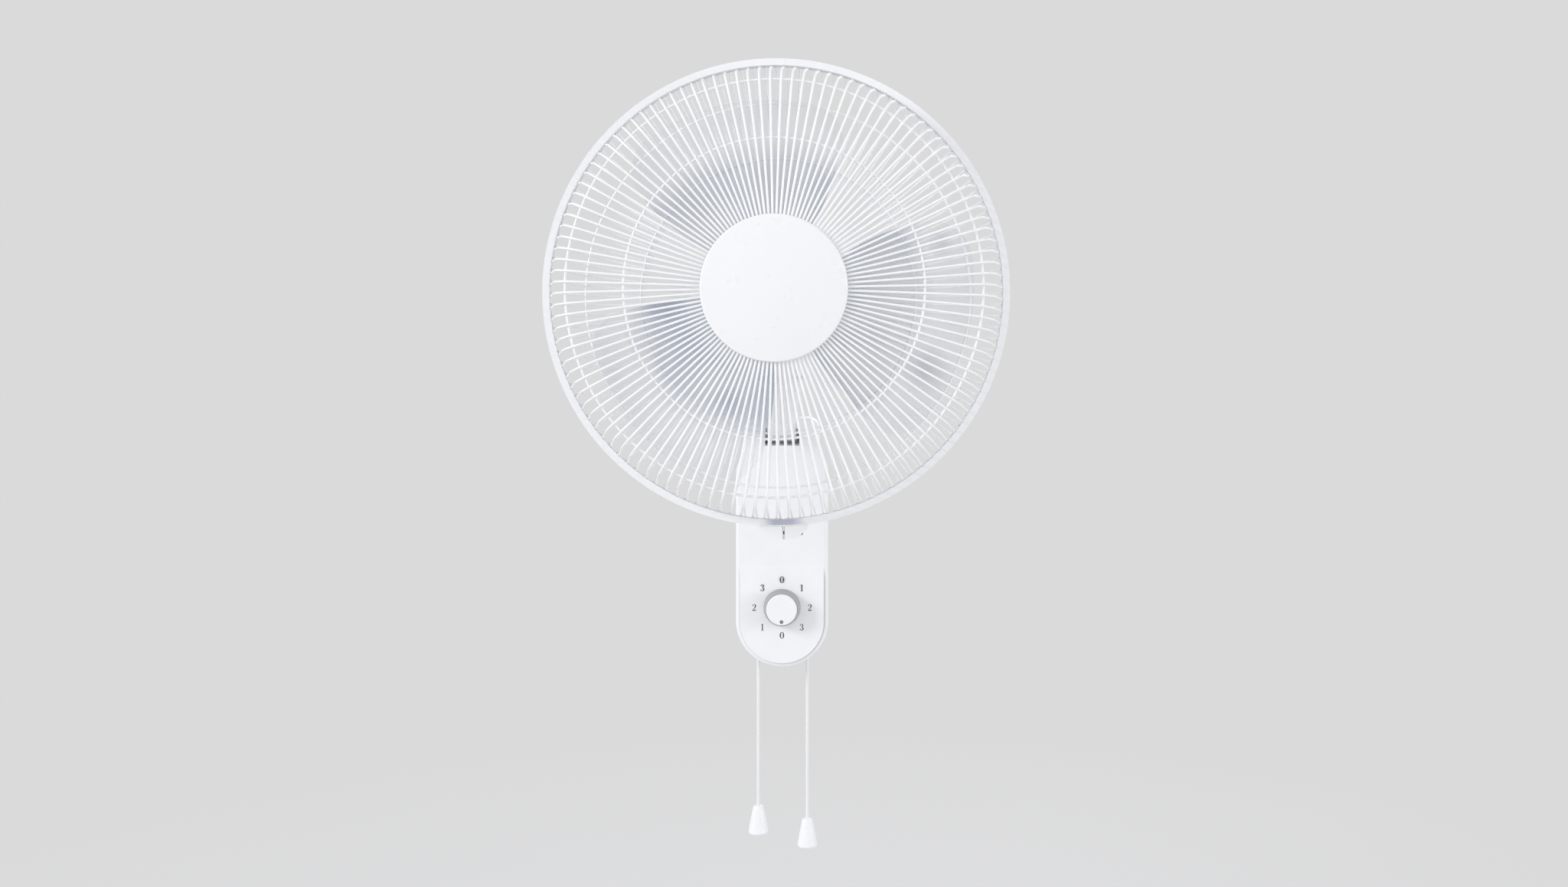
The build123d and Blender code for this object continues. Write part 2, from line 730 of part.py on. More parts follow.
# ================================================================ switches and wiring parts
switch_back = front_wall_out - switch_depth
with BuildPart() as speed_switch:
    bar(facing_out(switch_back, dial_z), switch_width, switch_width, switch_depth,
        corner=switch_corner)
    rod(facing_out(switch_back - 1, dial_z), knob_shaft_radius + running_fit, switch_depth + 2,
        mode=Mode.SUBTRACT)
    guide = facing_up(dial_z - guide_size / 2, -cord_x, cord_out)
    bar(guide, guide_size, guide_size, guide_size)
    with BuildSketch(facing_up(dial_z - guide_size / 2)):
        with BuildLine():
            Polyline(
                (-cord_x, -cord_out - guide_size / 2), (-switch_width / 2 + 2, -switch_back - guide_lap),
                (-switch_width / 2 + 2, -switch_back), (-cord_x, -cord_out + guide_size / 2),
                close=True,
            )
        make_face()
    extrude(amount=guide_size)
    rod(facing_up(dial_z - guide_size, -cord_x, cord_out), rod_radius + running_fit, 2 * guide_size,
        mode=Mode.SUBTRACT)
    for step in range(tag_count):
        tag = facing_out(switch_back - tag_reach, dial_z + tag_top - step * tag_pitch,
                         switch_width / 2 - tag_inset)
        bar(tag, tag_width, tag_thickness, tag_length)

osc_switch_back = cord_out - osc_switch_width / 2
with BuildPart() as oscillation_switch:
    bar(facing_out(osc_switch_back, osc_switch_z, cord_x), osc_switch_width, osc_switch_height,
        front_wall_out - osc_switch_back, corner=osc_switch_corner)
    rod(facing_up(osc_switch_z - osc_switch_height, cord_x, cord_out), rod_radius + running_fit,
        osc_switch_height, mode=Mode.SUBTRACT)
    for side in (-1, 1):
        tag = facing_out(osc_switch_back - tag_reach, osc_switch_z + osc_tag_rise,
                         cord_x + side * osc_tag_side)
        bar(tag, tag_width, tag_thickness, tag_length)

with BuildPart() as capacitor:
    bar(facing_out(floor_front, capacitor_z), capacitor_width, capacitor_height, capacitor_depth,
        corner=capacitor_corner)
    for side in (-1, 1):
        tag = facing_out(floor_front + capacitor_depth - tag_width,
                         capacitor_z + capacitor_height / 2 + 2, side * capacitor_tag_side)
        bar(tag, tag_width, capacitor_tag_height, tag_thickness)
with BuildPart() as terminal_block:
    bar(facing_out(floor_front, block_z), block_width, block_height, block_depth)
    fillet(terminal_block.edges().filter_by(Axis.Y), 1)
    with Locations(facing_out(floor_front + block_depth, block_z)):
        with GridLocations(pole_pitch, 1, pole_count, 1):
            Hole(pole_radius, pole_depth)


socket_z = bush_top_z + free_gap + pull_travel   # the sockets stop on the bushes when pulled down


def pull_rod(x, top_z):
    """Rod that slides in its switch, with the socket that holds the cord at its foot."""
    with BuildPart() as puller:
        rod(facing_up(socket_z + 1, x, cord_out), rod_radius, top_z - socket_z - 1)
        rod(facing_up(socket_z, x, cord_out), socket_radius, socket_length)
        chamfer(puller.faces().sort_by(Axis.Z)[-1].edges(), 0.5)
        rod(facing_up(socket_z - 1, x, cord_out), cord_radius + press_gap,
            socket_length + 1 - socket_roof, mode=Mode.SUBTRACT)
    return puller


speed_pull_rod = pull_rod(-cord_x, dial_z + guide_size)
oscillation_pull_rod = pull_rod(cord_x, osc_switch_z - 1)

# ================================================================ control knob
knob_out = panel_out + free_gap
dial_side = Plane(origin=(0, 0, dial_z), x_dir=(0, -1, 0), z_dir=(-1, 0, 0))
dial_axis = Axis((0, 0, dial_z), (0, -1, 0))
knob_top_out = knob_out + knob_height
with BuildPart() as knob_body:
    turned([
        (knob_out, knob_shaft_radius + press_gap), (knob_out, knob_radius),
        (knob_out + knob_skirt, knob_radius - skirt_taper),
        (knob_top_out, knob_cap_radius + knob_shoulder),
        (knob_top_out, knob_shaft_radius + press_gap),
    ], dial_side, dial_axis)
    turned([
        (knob_out - 1, knob_shaft_radius + knob_wall), (knob_out - 1, knob_radius - knob_wall),
        (knob_top_out - knob_roof, knob_cap_radius - knob_flank),
        (knob_top_out - knob_roof, knob_shaft_radius + knob_wall),
    ], dial_side, dial_axis, mode=Mode.SUBTRACT)
with BuildPart() as knob_cap:
    rod(facing_out(knob_top_out, dial_z), knob_cap_radius, knob_cap_height)
    fillet(knob_cap.faces().sort_by(Axis.Y)[0].edges(), knob_cap_round)
    dimple_z = dial_z - knob_cap_radius + dimple_inset
    rod(facing_out(knob_top_out + dimple_floor, dimple_z), knob_dimple_radius, knob_cap_height,
        mode=Mode.SUBTRACT)
knob_shaft_out = switch_back + 2
with BuildPart() as knob_shaft:
    rod(facing_out(knob_shaft_out, dial_z), knob_shaft_radius, knob_top_out - 1 - knob_shaft_out)
    chamfer(knob_shaft.faces().sort_by(Axis.Y)[0].edges(), 0.5)


# ================================================================ pull cords and their bells
def bell(x, top_z):
    """Tapered bell with a bore for the cord and a hollow for its knot."""
    bell_side = Plane(origin=(x, -cord_out, top_z), x_dir=(1, 0, 0), z_dir=(0, -1, 0))
    top_edge = (bell_top_radius - bell_top_flat, 0)
    neck_end = (bell_top_radius + bell_neck_swell, -bell_neck)
    foot_start = (bell_bottom_radius, bell_foot_round - bell_height)
    foot_edge = (bell_bottom_radius - bell_foot_flat, -bell_height)
    with BuildPart() as shape:
        with BuildSketch(bell_side):
            with BuildLine():
                Line((0, 0), top_edge)
                ThreePointArc(top_edge, (bell_top_radius - bell_neck_swell, -bell_top_drop), neck_end)
                Spline(
                    neck_end, (bell_bottom_radius - bell_flare_inset, bell_flare - bell_height),
                    foot_start,
                )
                ThreePointArc(
                    foot_start,
                    (bell_bottom_radius - bell_foot_corner, bell_foot_corner - bell_height),
                    foot_edge,
                )
                Polyline(foot_edge, (0, -bell_height), (0, 0))
            make_face()
        revolve(axis=Axis((x, -cord_out, 0), (0, 0, 1)))
        rod(facing_up(top_z - bell_height - 1, x, cord_out), bell_cavity_radius,
            bell_cavity_height + 1, mode=Mode.SUBTRACT)
        rod(facing_up(top_z - bell_height, x, cord_out), cord_radius + press_gap, bell_height + 1,
            mode=Mode.SUBTRACT)
    return shape


cord_top_z = socket_z + socket_length - socket_roof - 2 * seat_gap


def cord(x, bell_z):
    """Straight cord from the socket on its rod down into the bell's hollow."""
    end_z = bell_z - bell_height + bell_cavity_height - cord_tail
    with BuildPart() as line:
        rod(facing_up(end_z, x, cord_out), cord_radius, cord_top_z - end_z)
    return line


speed_bell = bell(-cord_x, speed_bell_z)
oscillation_bell = bell(cord_x, osc_bell_z)
speed_cord = cord(-cord_x, speed_bell_z)
oscillation_cord = cord(cord_x, osc_bell_z)

# ================================================================ neck
swing_side = Plane(origin=(0, -swing_out, 0), x_dir=(1, 0, 0), z_dir=(0, -1, 0))
swing_axis = Axis((0, -swing_out, 0), (0, 0, 1))
with BuildPart() as neck:
    rod(facing_right(-barrel_width / 2, tilt_out, tilt_z), barrel_radius, barrel_width)
    with BuildSketch(from_the_side):
        with BuildLine():
            Polyline(
                (tilt_out + barrel_radius * arm_upper[0], tilt_z + barrel_radius * arm_upper[1]),
                (swing_out - arm_reach, cup_taper_top_z - arm_cover),
                (swing_out, cup_taper_top_z - arm_cover),
                (swing_out, cup_foot_z), (swing_out - arm_foot_inset, cup_foot_z),
                (tilt_out + barrel_radius * arm_lower[0], tilt_z + barrel_radius * arm_lower[1]),
                close=True,
            )
        make_face()
    extrude(amount=arm_width / 2, both=True)
    turned([
        (0, cup_foot_z), (cup_foot_radius, cup_foot_z), (cup_radius, cup_taper_top_z),
        (cup_radius, cup_top_z), (0, cup_top_z),
    ], swing_side, swing_axis)
    rod(facing_up(cup_foot_z - 1, 0, swing_out), cup_well_radius, swing_bush_z - cup_foot_z + 1,
        mode=Mode.SUBTRACT)
    rod(facing_up(cup_foot_z, 0, swing_out), swing_bush_radius + press_gap, cup_top_z - cup_foot_z + 1,
        mode=Mode.SUBTRACT)
    rod(facing_right(-barrel_width, tilt_out, tilt_z), tilt_bolt_radius + running_fit,
        2 * barrel_width, mode=Mode.SUBTRACT)

with BuildPart() as swing_bush:
    rod(facing_up(swing_bush_z, 0, swing_out), swing_bush_radius, cup_top_z - swing_bush_z,
        bore=swing_pin_radius + running_fit)
    rod(facing_up(cup_top_z, 0, swing_out), swing_flange_radius, swing_flange,
        bore=swing_pin_radius + running_fit)

post_top_z = link_z - free_gap
with BuildPart() as link_post:
    rod(facing_up(cup_top_z, crank_side, swing_out), post_radius, post_top_z - cup_top_z)
    rod(facing_up(cup_top_z, crank_side, swing_out), post_radius + post_foot, post_foot_height)

# ================================================================ swing pin, cradle and drive
collar_z = cup_top_z + swing_flange + free_gap
pin_foot_z = swing_bush_z - free_gap
cradle_top_z = cradle_z + cradle_thickness
with BuildPart() as swing_pin:
    rod(facing_up(pin_foot_z, 0, swing_out), swing_pin_radius, cradle_z - pin_foot_z)
    rod(facing_up(collar_z, 0, swing_out), swing_collar_radius, swing_collar)
    rod(facing_up(cradle_z - swing_shoulder, 0, swing_out), swing_shoulder_radius, swing_shoulder)
    rod(facing_up(cradle_z, 0, swing_out), swing_spigot_radius, cradle_thickness)
    rod(facing_up(pin_foot_z - 1, 0, swing_out), swing_screw_radius + press_gap,
        swing_screw_length + 2, mode=Mode.SUBTRACT)
with BuildPart() as swing_washer:
    rod(facing_up(pin_foot_z - washer_thickness, 0, swing_out), swing_bush_radius + washer_lap,
        washer_thickness, bore=swing_screw_radius + press_gap)
swing_screw_form = pan_screw(swing_screw_radius, swing_screw_length, swing_head_radius,
                             swing_head_height)
with BuildPart() as swing_screw:
    with Locations(facing_up(pin_foot_z - washer_thickness, 0, swing_out)):
        add(swing_screw_form)

drive_out = swing_out - crank_back
with BuildPart() as cradle:
    with BuildSketch(facing_up(cradle_z)):
        with BuildLine():
            Polyline(
                (-cradle_half, -frame_front_out), (cradle_half, -frame_front_out),
                (cradle_half, -swing_out - cradle_flare), (cradle_wide, -swing_out + 2),
                (cradle_wide, -drive_out + cradle_flare), (cradle_half + 2, -drive_out + cradle_back),
                (-cradle_half, -drive_out + cradle_back), close=True,
            )
        make_face()
    extrude(amount=cradle_thickness)
    bar(facing_out(frame_front_out - cradle_thickness, cradle_z + cradle_upstand / 2),
        2 * cradle_half, cradle_upstand, cradle_thickness)
    rod(facing_up(cradle_z - 1, 0, swing_out), swing_spigot_radius + press_gap,
        cradle_thickness + 2, mode=Mode.SUBTRACT)
    rod(facing_up(cradle_z - 1, crank_side, drive_out), drive_shaft_radius + drive_shaft_play,
        cradle_thickness + 2, mode=Mode.SUBTRACT)

with BuildPart() as drive_motor:
    rod(facing_up(cradle_top_z, crank_side, drive_out), drive_motor_radius, drive_motor_height,
        bore=drive_shaft_radius + running_fit)
    rim = drive_motor.edges().filter_by(GeomType.CIRCLE).sort_by(Axis.Z).group_by(SortBy.RADIUS)[-1]
    fillet(rim, 1.0)

crank_throw = crank_side * sin(radians(swing_reach))
crank_pin_x = crank_side + crank_throw
link_length = hypot(crank_throw, crank_back)
with BuildPart() as crank:
    with BuildSketch(facing_up(crank_z)):
        with Locations((crank_side, -drive_out)):
            Circle(crank_hub)
        with Locations((crank_pin_x, -drive_out)):
            Circle(crank_eye)
        with Locations((crank_side + crank_throw / 2, -drive_out)):
            Rectangle(crank_throw, crank_width)
    extrude(amount=crank_thickness)
    rod(facing_up(crank_z, crank_side, drive_out), drive_shaft_radius,
        cradle_top_z + drive_motor_height - 2 - crank_z)
    rod(facing_up(link_z - crank_pin_end, crank_pin_x, drive_out), crank_pin_radius,
        crank_z - link_z + crank_pin_end)

link_turn = degrees(asin(crank_throw / link_length))
with BuildPart() as swing_link:
    with BuildSketch(facing_up(link_z)):
        for x, out in ((crank_side, swing_out), (crank_pin_x, drive_out)):
            with Locations((x, -out)):
                Circle(link_width / 2 + link_eye)
        with Locations(((crank_side + crank_pin_x) / 2, -(swing_out + drive_out) / 2)):
            Rectangle(link_width, link_length, rotation=-link_turn)
    extrude(amount=link_thickness)
    rod(facing_up(link_z - 1, crank_pin_x, drive_out), crank_pin_radius + running_fit,
        link_thickness + 2, mode=Mode.SUBTRACT)
    rod(facing_up(link_z - 1, crank_side, swing_out), post_radius + free_gap, link_thickness + 2,
        mode=Mode.SUBTRACT)

# ================================================================ motor
frame_screw_turns = [
    frame_screw_start + step * 360 / frame_screw_count for step in range(frame_screw_count)
]


def around_head(angle, radius):
    """Side and height of a point at an angle about the rotor axis."""
    return radius * cos(radians(angle)), head_z + radius * sin(radians(angle))


with BuildPart() as motor_front_frame:
    turned([
        (frame_front_out, bearing_radius + press_gap), (frame_front_out, frame_radius),
        (frame_front_out + frame_thickness, frame_radius),
        (frame_front_out + frame_thickness, boss_thread_radius), (boss_front_out, boss_thread_radius),
        (boss_front_out, shaft_radius + 1.0),
        (bearing_front_out + bearing_length, shaft_radius + 1.0),
        (bearing_front_out + bearing_length, bearing_radius + press_gap),
    ], head_side, head_axis)
    for angle in frame_screw_turns:
        x, z = around_head(angle, frame_screw_circle)
        rod(facing_out(frame_front_out - 1, z, x), frame_screw_radius + press_gap,
            frame_thickness + 2, mode=Mode.SUBTRACT)

with BuildPart() as motor_rear_frame:
    turned([
        (bearing_back_out, bearing_radius + press_gap),
        (bearing_back_out, bearing_radius + bearing_housing),
        (frame_back_out, bearing_radius + bearing_housing), (frame_back_out, frame_hub_radius),
        (frame_back_out + frame_thickness, frame_hub_radius),
        (frame_back_out + frame_thickness, bearing_radius + press_gap),
    ], head_side, head_axis)
    arm_start = frame_hub_radius - frame_arm_lap
    with BuildSketch(facing_out(frame_back_out, head_z)):
        with PolarLocations(arm_start, frame_screw_count, start_angle=frame_screw_start):
            Rectangle(frame_radius - arm_start, frame_arm_width, align=(Align.MIN, Align.CENTER))
    extrude(amount=frame_thickness)
    for angle in frame_screw_turns:
        x, z = around_head(angle, frame_screw_circle)
        rod(facing_out(frame_back_out - 1, z, x), frame_screw_radius + press_gap,
            frame_thickness + 2, mode=Mode.SUBTRACT)

frame_screw_form = pan_screw(frame_screw_radius, frame_front_out + frame_thickness - frame_back_out,
                             frame_head_radius, frame_head_height)
with BuildPart() as frame_screws:
    for angle in frame_screw_turns:
        x, z = around_head(angle, frame_screw_circle)
        with Locations(facing_out(frame_back_out, z, x)):
            add(frame_screw_form)

with BuildPart() as stator_core:
    with BuildSketch(facing_out(stator_back_out, head_z)):
        Circle(stator_radius)
        Circle(stator_bore, mode=Mode.SUBTRACT)
        with PolarLocations(stator_bore - 1, stator_slots):
            Rectangle(slot_mouth_length, slot_mouth, align=(Align.MIN, Align.CENTER),
                      mode=Mode.SUBTRACT)
        with PolarLocations((winding_inner + winding_outer) / 2, stator_slots):
            SlotOverall(winding_outer - winding_inner - 2 * slot_margin, slot_width,
                        mode=Mode.SUBTRACT)
    extrude(amount=stator_length)
    for angle in frame_screw_turns:
        x, z = around_head(angle, stator_radius - rib_sink)
        bar(Plane(origin=(x, -stator_back_out, z), x_dir=(cos(radians(angle)), 0, sin(radians(angle))),
                  z_dir=(0, -1, 0)), 2.0, rib_width, stator_length)
with BuildPart() as stator_windings:
    for start in (stator_back_out - winding_length, stator_back_out + stator_length):
        rod(facing_out(start + seat_gap / 2, head_z), winding_outer, winding_length - seat_gap,
            bore=winding_inner)
    fillet(stator_windings.edges().filter_by(GeomType.CIRCLE), winding_round)

with BuildPart() as shaft_bearings:
    for start in (bearing_back_out, bearing_front_out):
        rod(facing_out(start, head_z), bearing_radius, bearing_length - seat_gap,
            bore=shaft_radius + running_fit)

skirt_bore = skirt_radius - drum_wall


def drum_form(inset):
    """Round motor housing, drawn in by inset."""
    radius = drum_radius - inset
    front = drum_nose_out - inset
    back = drum_back_out + inset
    with BuildPart() as form:
        with BuildSketch(head_side) as outline:
            with BuildLine():
                Polyline(
                    (back, 0), (front, 0), (front, radius - drum_front_round),
                    (front - drum_front_round, radius), (back + drum_back_round, radius),
                    (back, radius - drum_back_round), close=True,
                )
            make_face()
            upper = outline.vertices().filter_by(lambda v: v.Y > radius - same_place)
            fillet(upper, drum_front_round)
            nose = outline.vertices().filter_by(
                lambda v: abs(v.X - front) < same_place and v.Y > 1
            )
            fillet(nose, nose_round)
            tail = outline.vertices().filter_by(
                lambda v: abs(v.X - back) < same_place and v.Y > 1
            )
            fillet(tail, tail_round)
        revolve(axis=head_axis)
    return form.part


drum_outer = drum_form(0.0)
drum_inner = drum_form(drum_wall)

with BuildPart() as motor_front_cover:
    add(drum_outer)
    add(drum_inner, mode=Mode.SUBTRACT)
    split(bisect_by=facing_out(drum_joint_out), keep=Keep.TOP)
    rod(facing_out(drum_joint_out, head_z), boss_thread_radius + nose_hole_play,
        drum_nose_out - drum_joint_out + 1, mode=Mode.SUBTRACT)

with BuildPart() as motor_rear_cover:
    add(drum_outer)
    rod(facing_up(skirt_z, 0, swing_out), skirt_radius, head_z - skirt_z)
    add(drum_inner, mode=Mode.SUBTRACT)
    rod(facing_up(skirt_z - 1, 0, swing_out), skirt_bore, head_z - skirt_z, mode=Mode.SUBTRACT)
    split(bisect_by=facing_out(drum_joint_out), keep=Keep.BOTTOM)
    with BuildSketch(facing_out(drum_back_out - 1, head_z)):
        with PolarLocations(vent_circle, vent_count):
            SlotOverall(vent_length, vent_width)
    extrude(amount=drum_wall + 2, mode=Mode.SUBTRACT)

# ================================================================ guard

def wire_end(shoulder):
    """Circle on which a wire ends, so that its last leg lies along the rim ring."""
    across = rim_ring_circle - shoulder[0]
    down = shoulder[1] - rim_ring_radius - seat_gap
    reach = rim_ring_radius + wire_radius + weld_gap
    lean = atan(across / down) - asin(reach / hypot(across, down))
    return shoulder[0] + (shoulder[1] - wire_end_depth) * tan(lean)


def guard_wire(shoulder, depth, bend, sign):
    """One radial wire: from the middle, over the shoulder, down to the rim ring."""
    points = [
        (rim_out + sign * depth, wire_start_circle), (rim_out + sign * shoulder[1], shoulder[0]),
        (rim_out + sign * wire_end_depth, wire_end(shoulder)),
    ]
    with BuildPart() as wire:
        with BuildLine(head_side) as path:
            FilletPolyline(*points, radius=bend)
        with BuildSketch(Plane(path.line @ 0, z_dir=path.line % 0)):
            Circle(wire_radius)
        sweep(path=path.line)
    return wire.part


def wire_fan(wire, phase):
    """The wire, repeated about the rotor axis."""
    turns = [phase + step * 360 / wire_count for step in range(wire_count)]
    return [wire.rotate(head_axis, turn) for turn in turns]


front_wire = guard_wire(front_shoulder, front_depth, front_bend, 1)
rear_wire = guard_wire(rear_shoulder, rear_depth, rear_bend, -1)
with BuildPart() as front_guard_wires:
    add(wire_fan(front_wire, wire_phase), clean=False)
with BuildPart() as rear_guard_wires:
    add(wire_fan(rear_wire, 0.0), clean=False)


def wire_depth(circle, shoulder, depth, bend):
    """Depth of a wire's centre line where it crosses a circle, and its slope there."""
    slope = (shoulder[1] - depth) / (shoulder[0] - wire_start_circle)
    fall = (wire_end_depth - shoulder[1]) / (wire_end(shoulder) - shoulder[0])
    turn = abs(degrees(atan(fall)) - degrees(atan(slope)))
    reach = bend * tan(radians(turn / 2))
    first = shoulder[0] - reach * cos(atan(slope))
    if circle <= first:
        return depth + slope * (circle - wire_start_circle), slope
    centre_circle = first + bend * sin(atan(slope))
    centre_depth = depth + slope * (first - wire_start_circle) - bend * cos(atan(slope))
    across = circle - centre_circle
    rise = sqrt(bend * bend - across * across)
    last = shoulder[0] + reach * cos(atan(fall))
    if circle <= last:
        return centre_depth + rise, -across / rise
    return shoulder[1] + fall * (circle - shoulder[0]), fall


def guard_rings(shoulder, depth, bend, sign):
    """Rings that lie under the wires, and the rim ring that the wires end on."""
    with BuildPart() as rings:
        for circle in ring_circles:
            across, slope = wire_depth(circle, shoulder, depth, bend)
            reach = wire_radius + ring_radius + weld_gap
            angle = atan(slope)
            ring_circle = circle + reach * sin(angle)
            ring_out = rim_out + sign * (across - reach * cos(angle))
            with BuildSketch(head_side):
                with Locations((ring_out, ring_circle)):
                    Circle(ring_radius)
            revolve(axis=head_axis)
        with BuildSketch(head_side):
            with Locations((rim_out + sign * (rim_ring_radius + seat_gap), rim_ring_circle)):
                Circle(rim_ring_radius)
        revolve(axis=head_axis)
    return rings


front_guard_rings = guard_rings(front_shoulder, front_depth, front_bend, 1)
rear_guard_rings = guard_rings(rear_shoulder, rear_depth, rear_bend, -1)

front_slope = (front_depth - front_shoulder[1]) / (front_shoulder[0] - wire_start_circle)
front_plate_depth = front_depth - front_slope * (front_plate_radius - wire_start_circle)
front_plate_out = rim_out + front_plate_depth - wire_radius - seat_gap - guard_plate
with BuildPart() as front_guard_plate:
    rod(facing_out(front_plate_out, head_z), front_plate_radius, guard_plate)
    with BuildSketch(facing_out(front_plate_out, head_z)):
        with PolarLocations(badge_peg_circle, badge_pegs, start_angle=badge_peg_start):
            Circle(badge_peg_radius + seat_gap)
        Circle(plate_window_radius)
    extrude(amount=guard_plate, mode=Mode.SUBTRACT)
with BuildPart() as rear_guard_plate:
    rod(facing_out(plate_front_out - guard_plate, head_z), rear_plate_radius, guard_plate,
        bore=boss_thread_radius + seat_gap)

badge_back_out = rim_out + front_depth + wire_radius + seat_gap
badge_front_out = badge_back_out + badge_rise
badge_inside = badge_radius - badge_wall
badge_edge_out = badge_back_out + badge_edge
badge_dome = badge_rise - badge_edge
dome_radius = (badge_radius ** 2 + badge_dome ** 2) / (2 * badge_dome)


def dome_fall(radius, circle):
    """How far a dome of this radius falls back from its apex at a circle."""
    return radius - sqrt(radius ** 2 - circle ** 2)


with BuildPart() as badge:
    with BuildSketch(head_side) as outline:
        with BuildLine():
            ThreePointArc(
                (badge_edge_out, badge_radius),
                (badge_front_out - dome_fall(dome_radius, badge_radius / 2), badge_radius / 2),
                (badge_front_out, 0),
            )
            Line((badge_front_out, 0), (badge_front_out - badge_wall, 0))
            inner_radius = dome_radius - badge_wall
            inner_edge_out = badge_front_out - badge_wall - dome_fall(inner_radius, badge_inside)
            ThreePointArc(
                (badge_front_out - badge_wall, 0),
                (badge_front_out - badge_wall - dome_fall(inner_radius, badge_inside / 2),
                 badge_inside / 2),
                (inner_edge_out, badge_inside),
            )
            Polyline(
                (inner_edge_out, badge_inside), (badge_back_out, badge_inside),
                (badge_back_out, badge_radius), (badge_edge_out, badge_radius),
            )
        make_face()
        corner = outline.vertices().sort_by_distance((badge_edge_out, badge_radius))[0]
        fillet(corner, badge_round)
    revolve(axis=head_axis)
    peg_back_out = front_plate_out - badge_peg_tail
    with BuildSketch(facing_out(peg_back_out, head_z)):
        with PolarLocations(badge_peg_circle, badge_pegs, start_angle=badge_peg_start):
            Circle(badge_peg_radius)
    extrude(amount=badge_front_out - badge_wall - badge_peg_sink - peg_back_out)

with BuildPart() as guard_lock_nut:
    lock_nut_out = plate_front_out + seat_gap / 2
    turned([
        (lock_nut_out, boss_thread_radius + seat_gap), (lock_nut_out, lock_nut_radius),
        (lock_nut_out + nut_flange, lock_nut_radius),
        (lock_nut_out + nut_flange + nut_bevel_height, lock_nut_radius - nut_bevel),
        (lock_nut_out + lock_nut_height, lock_nut_radius - nut_top_inset),
        (lock_nut_out + lock_nut_height, boss_thread_radius + seat_gap),
    ], head_side, head_axis)
    with BuildSketch(facing_out(lock_nut_out + nut_flange, head_z)):
        with PolarLocations(lock_nut_radius, nut_grips):
            Circle(nut_grip_radius)
    extrude(amount=lock_nut_height, mode=Mode.SUBTRACT)

# ================================================================ rim band and its clamp
band_half = 2 * rim_ring_radius + 2 * seat_gap + rim_wall
band_cut = 2 * (rim_lip + rim_wall)     # height of the cuts through the band's whole section
clamp_tilt = radians(clamp_turn)
clamp_x_dir = (cos(clamp_tilt), 0, sin(clamp_tilt))


def clamp_face(distance):
    """Plane facing out, turned so that its -Y points from the rotor axis to the clamp."""
    return Plane(origin=(0, -distance, head_z), x_dir=clamp_x_dir, z_dir=(0, -1, 0))


with BuildPart() as rim_band:
    turned([
        (rim_out - band_half, rim_radius), (rim_out + band_half, rim_radius),
        (rim_out + band_half, rim_radius - rim_lip),
        (rim_out + band_half - rim_wall, rim_radius - rim_lip),
        (rim_out + band_half - rim_wall, rim_radius - rim_wall),
        (rim_out - band_half + rim_wall, rim_radius - rim_wall),
        (rim_out - band_half + rim_wall, rim_radius - rim_lip),
        (rim_out - band_half, rim_radius - rim_lip),
    ], head_side, head_axis)
    with BuildSketch(clamp_face(rim_out - band_half - 1)):
        with Locations((0, -rim_radius)):
            Rectangle(clamp_split, 2 * band_cut)
    extrude(amount=2 * band_half + 2, mode=Mode.SUBTRACT)
    with BuildSketch(clamp_face(rim_out + band_half - rim_wall)):
        Circle(rim_radius - rim_wall)
        with Locations((0, -rim_radius)):
            Rectangle(2 * clamp_bridge, 2 * band_cut, mode=Mode.INTERSECT)
    extrude(amount=rim_wall + 1, mode=Mode.SUBTRACT)

lug_half = band_half
screw_line = rim_radius + clamp_screw_reach
with BuildPart() as clamp_lugs:
    with BuildSketch(clamp_face(rim_out - lug_half)):
        with BuildLine():
            Polyline(
                (-clamp_top_width, clamp_root - rim_radius),
                (-clamp_top_width, -rim_radius - clamp_edge),
                (-clamp_foot_width - clamp_foot_flare, -rim_radius - clamp_reach),
                (clamp_foot_width + clamp_foot_flare, -rim_radius - clamp_reach),
                (clamp_top_width, -rim_radius - clamp_edge),
                (clamp_top_width, clamp_root - rim_radius),
                close=True,
            )
        outline = make_face()
        fillet(outline.vertices().group_by(Axis.Y)[0], clamp_round)
        Circle(rim_radius + seat_gap, mode=Mode.SUBTRACT)
        with Locations((0, -rim_radius - clamp_reach)):
            Rectangle(clamp_split, 2 * (clamp_reach + clamp_root), mode=Mode.SUBTRACT)
    extrude(amount=2 * lug_half)
    screw_place = Plane(
        origin=clamp_face(rim_out).from_local_coords(Vector(0, -screw_line, 0)),
        x_dir=(0, -1, 0), z_dir=clamp_x_dir,
    )
    with BuildSketch(screw_place.offset(-clamp_top_width)):
        Circle(clamp_screw_radius + press_gap)
    extrude(amount=2 * clamp_top_width, mode=Mode.SUBTRACT)
    with BuildSketch(screw_place.offset(clamp_seat)):
        with Locations((lug_half - clamp_seat_wall, 0)):
            Rectangle(2 * lug_half, clamp_seat_width, align=(Align.MAX, Align.CENTER))
    extrude(amount=clamp_top_width, mode=Mode.SUBTRACT)
    with BuildSketch(screw_place.offset(-clamp_foot_width)):
        RegularPolygon(clamp_nut_radius + seat_gap, hex_sides)
    extrude(amount=-clamp_top_width, mode=Mode.SUBTRACT)

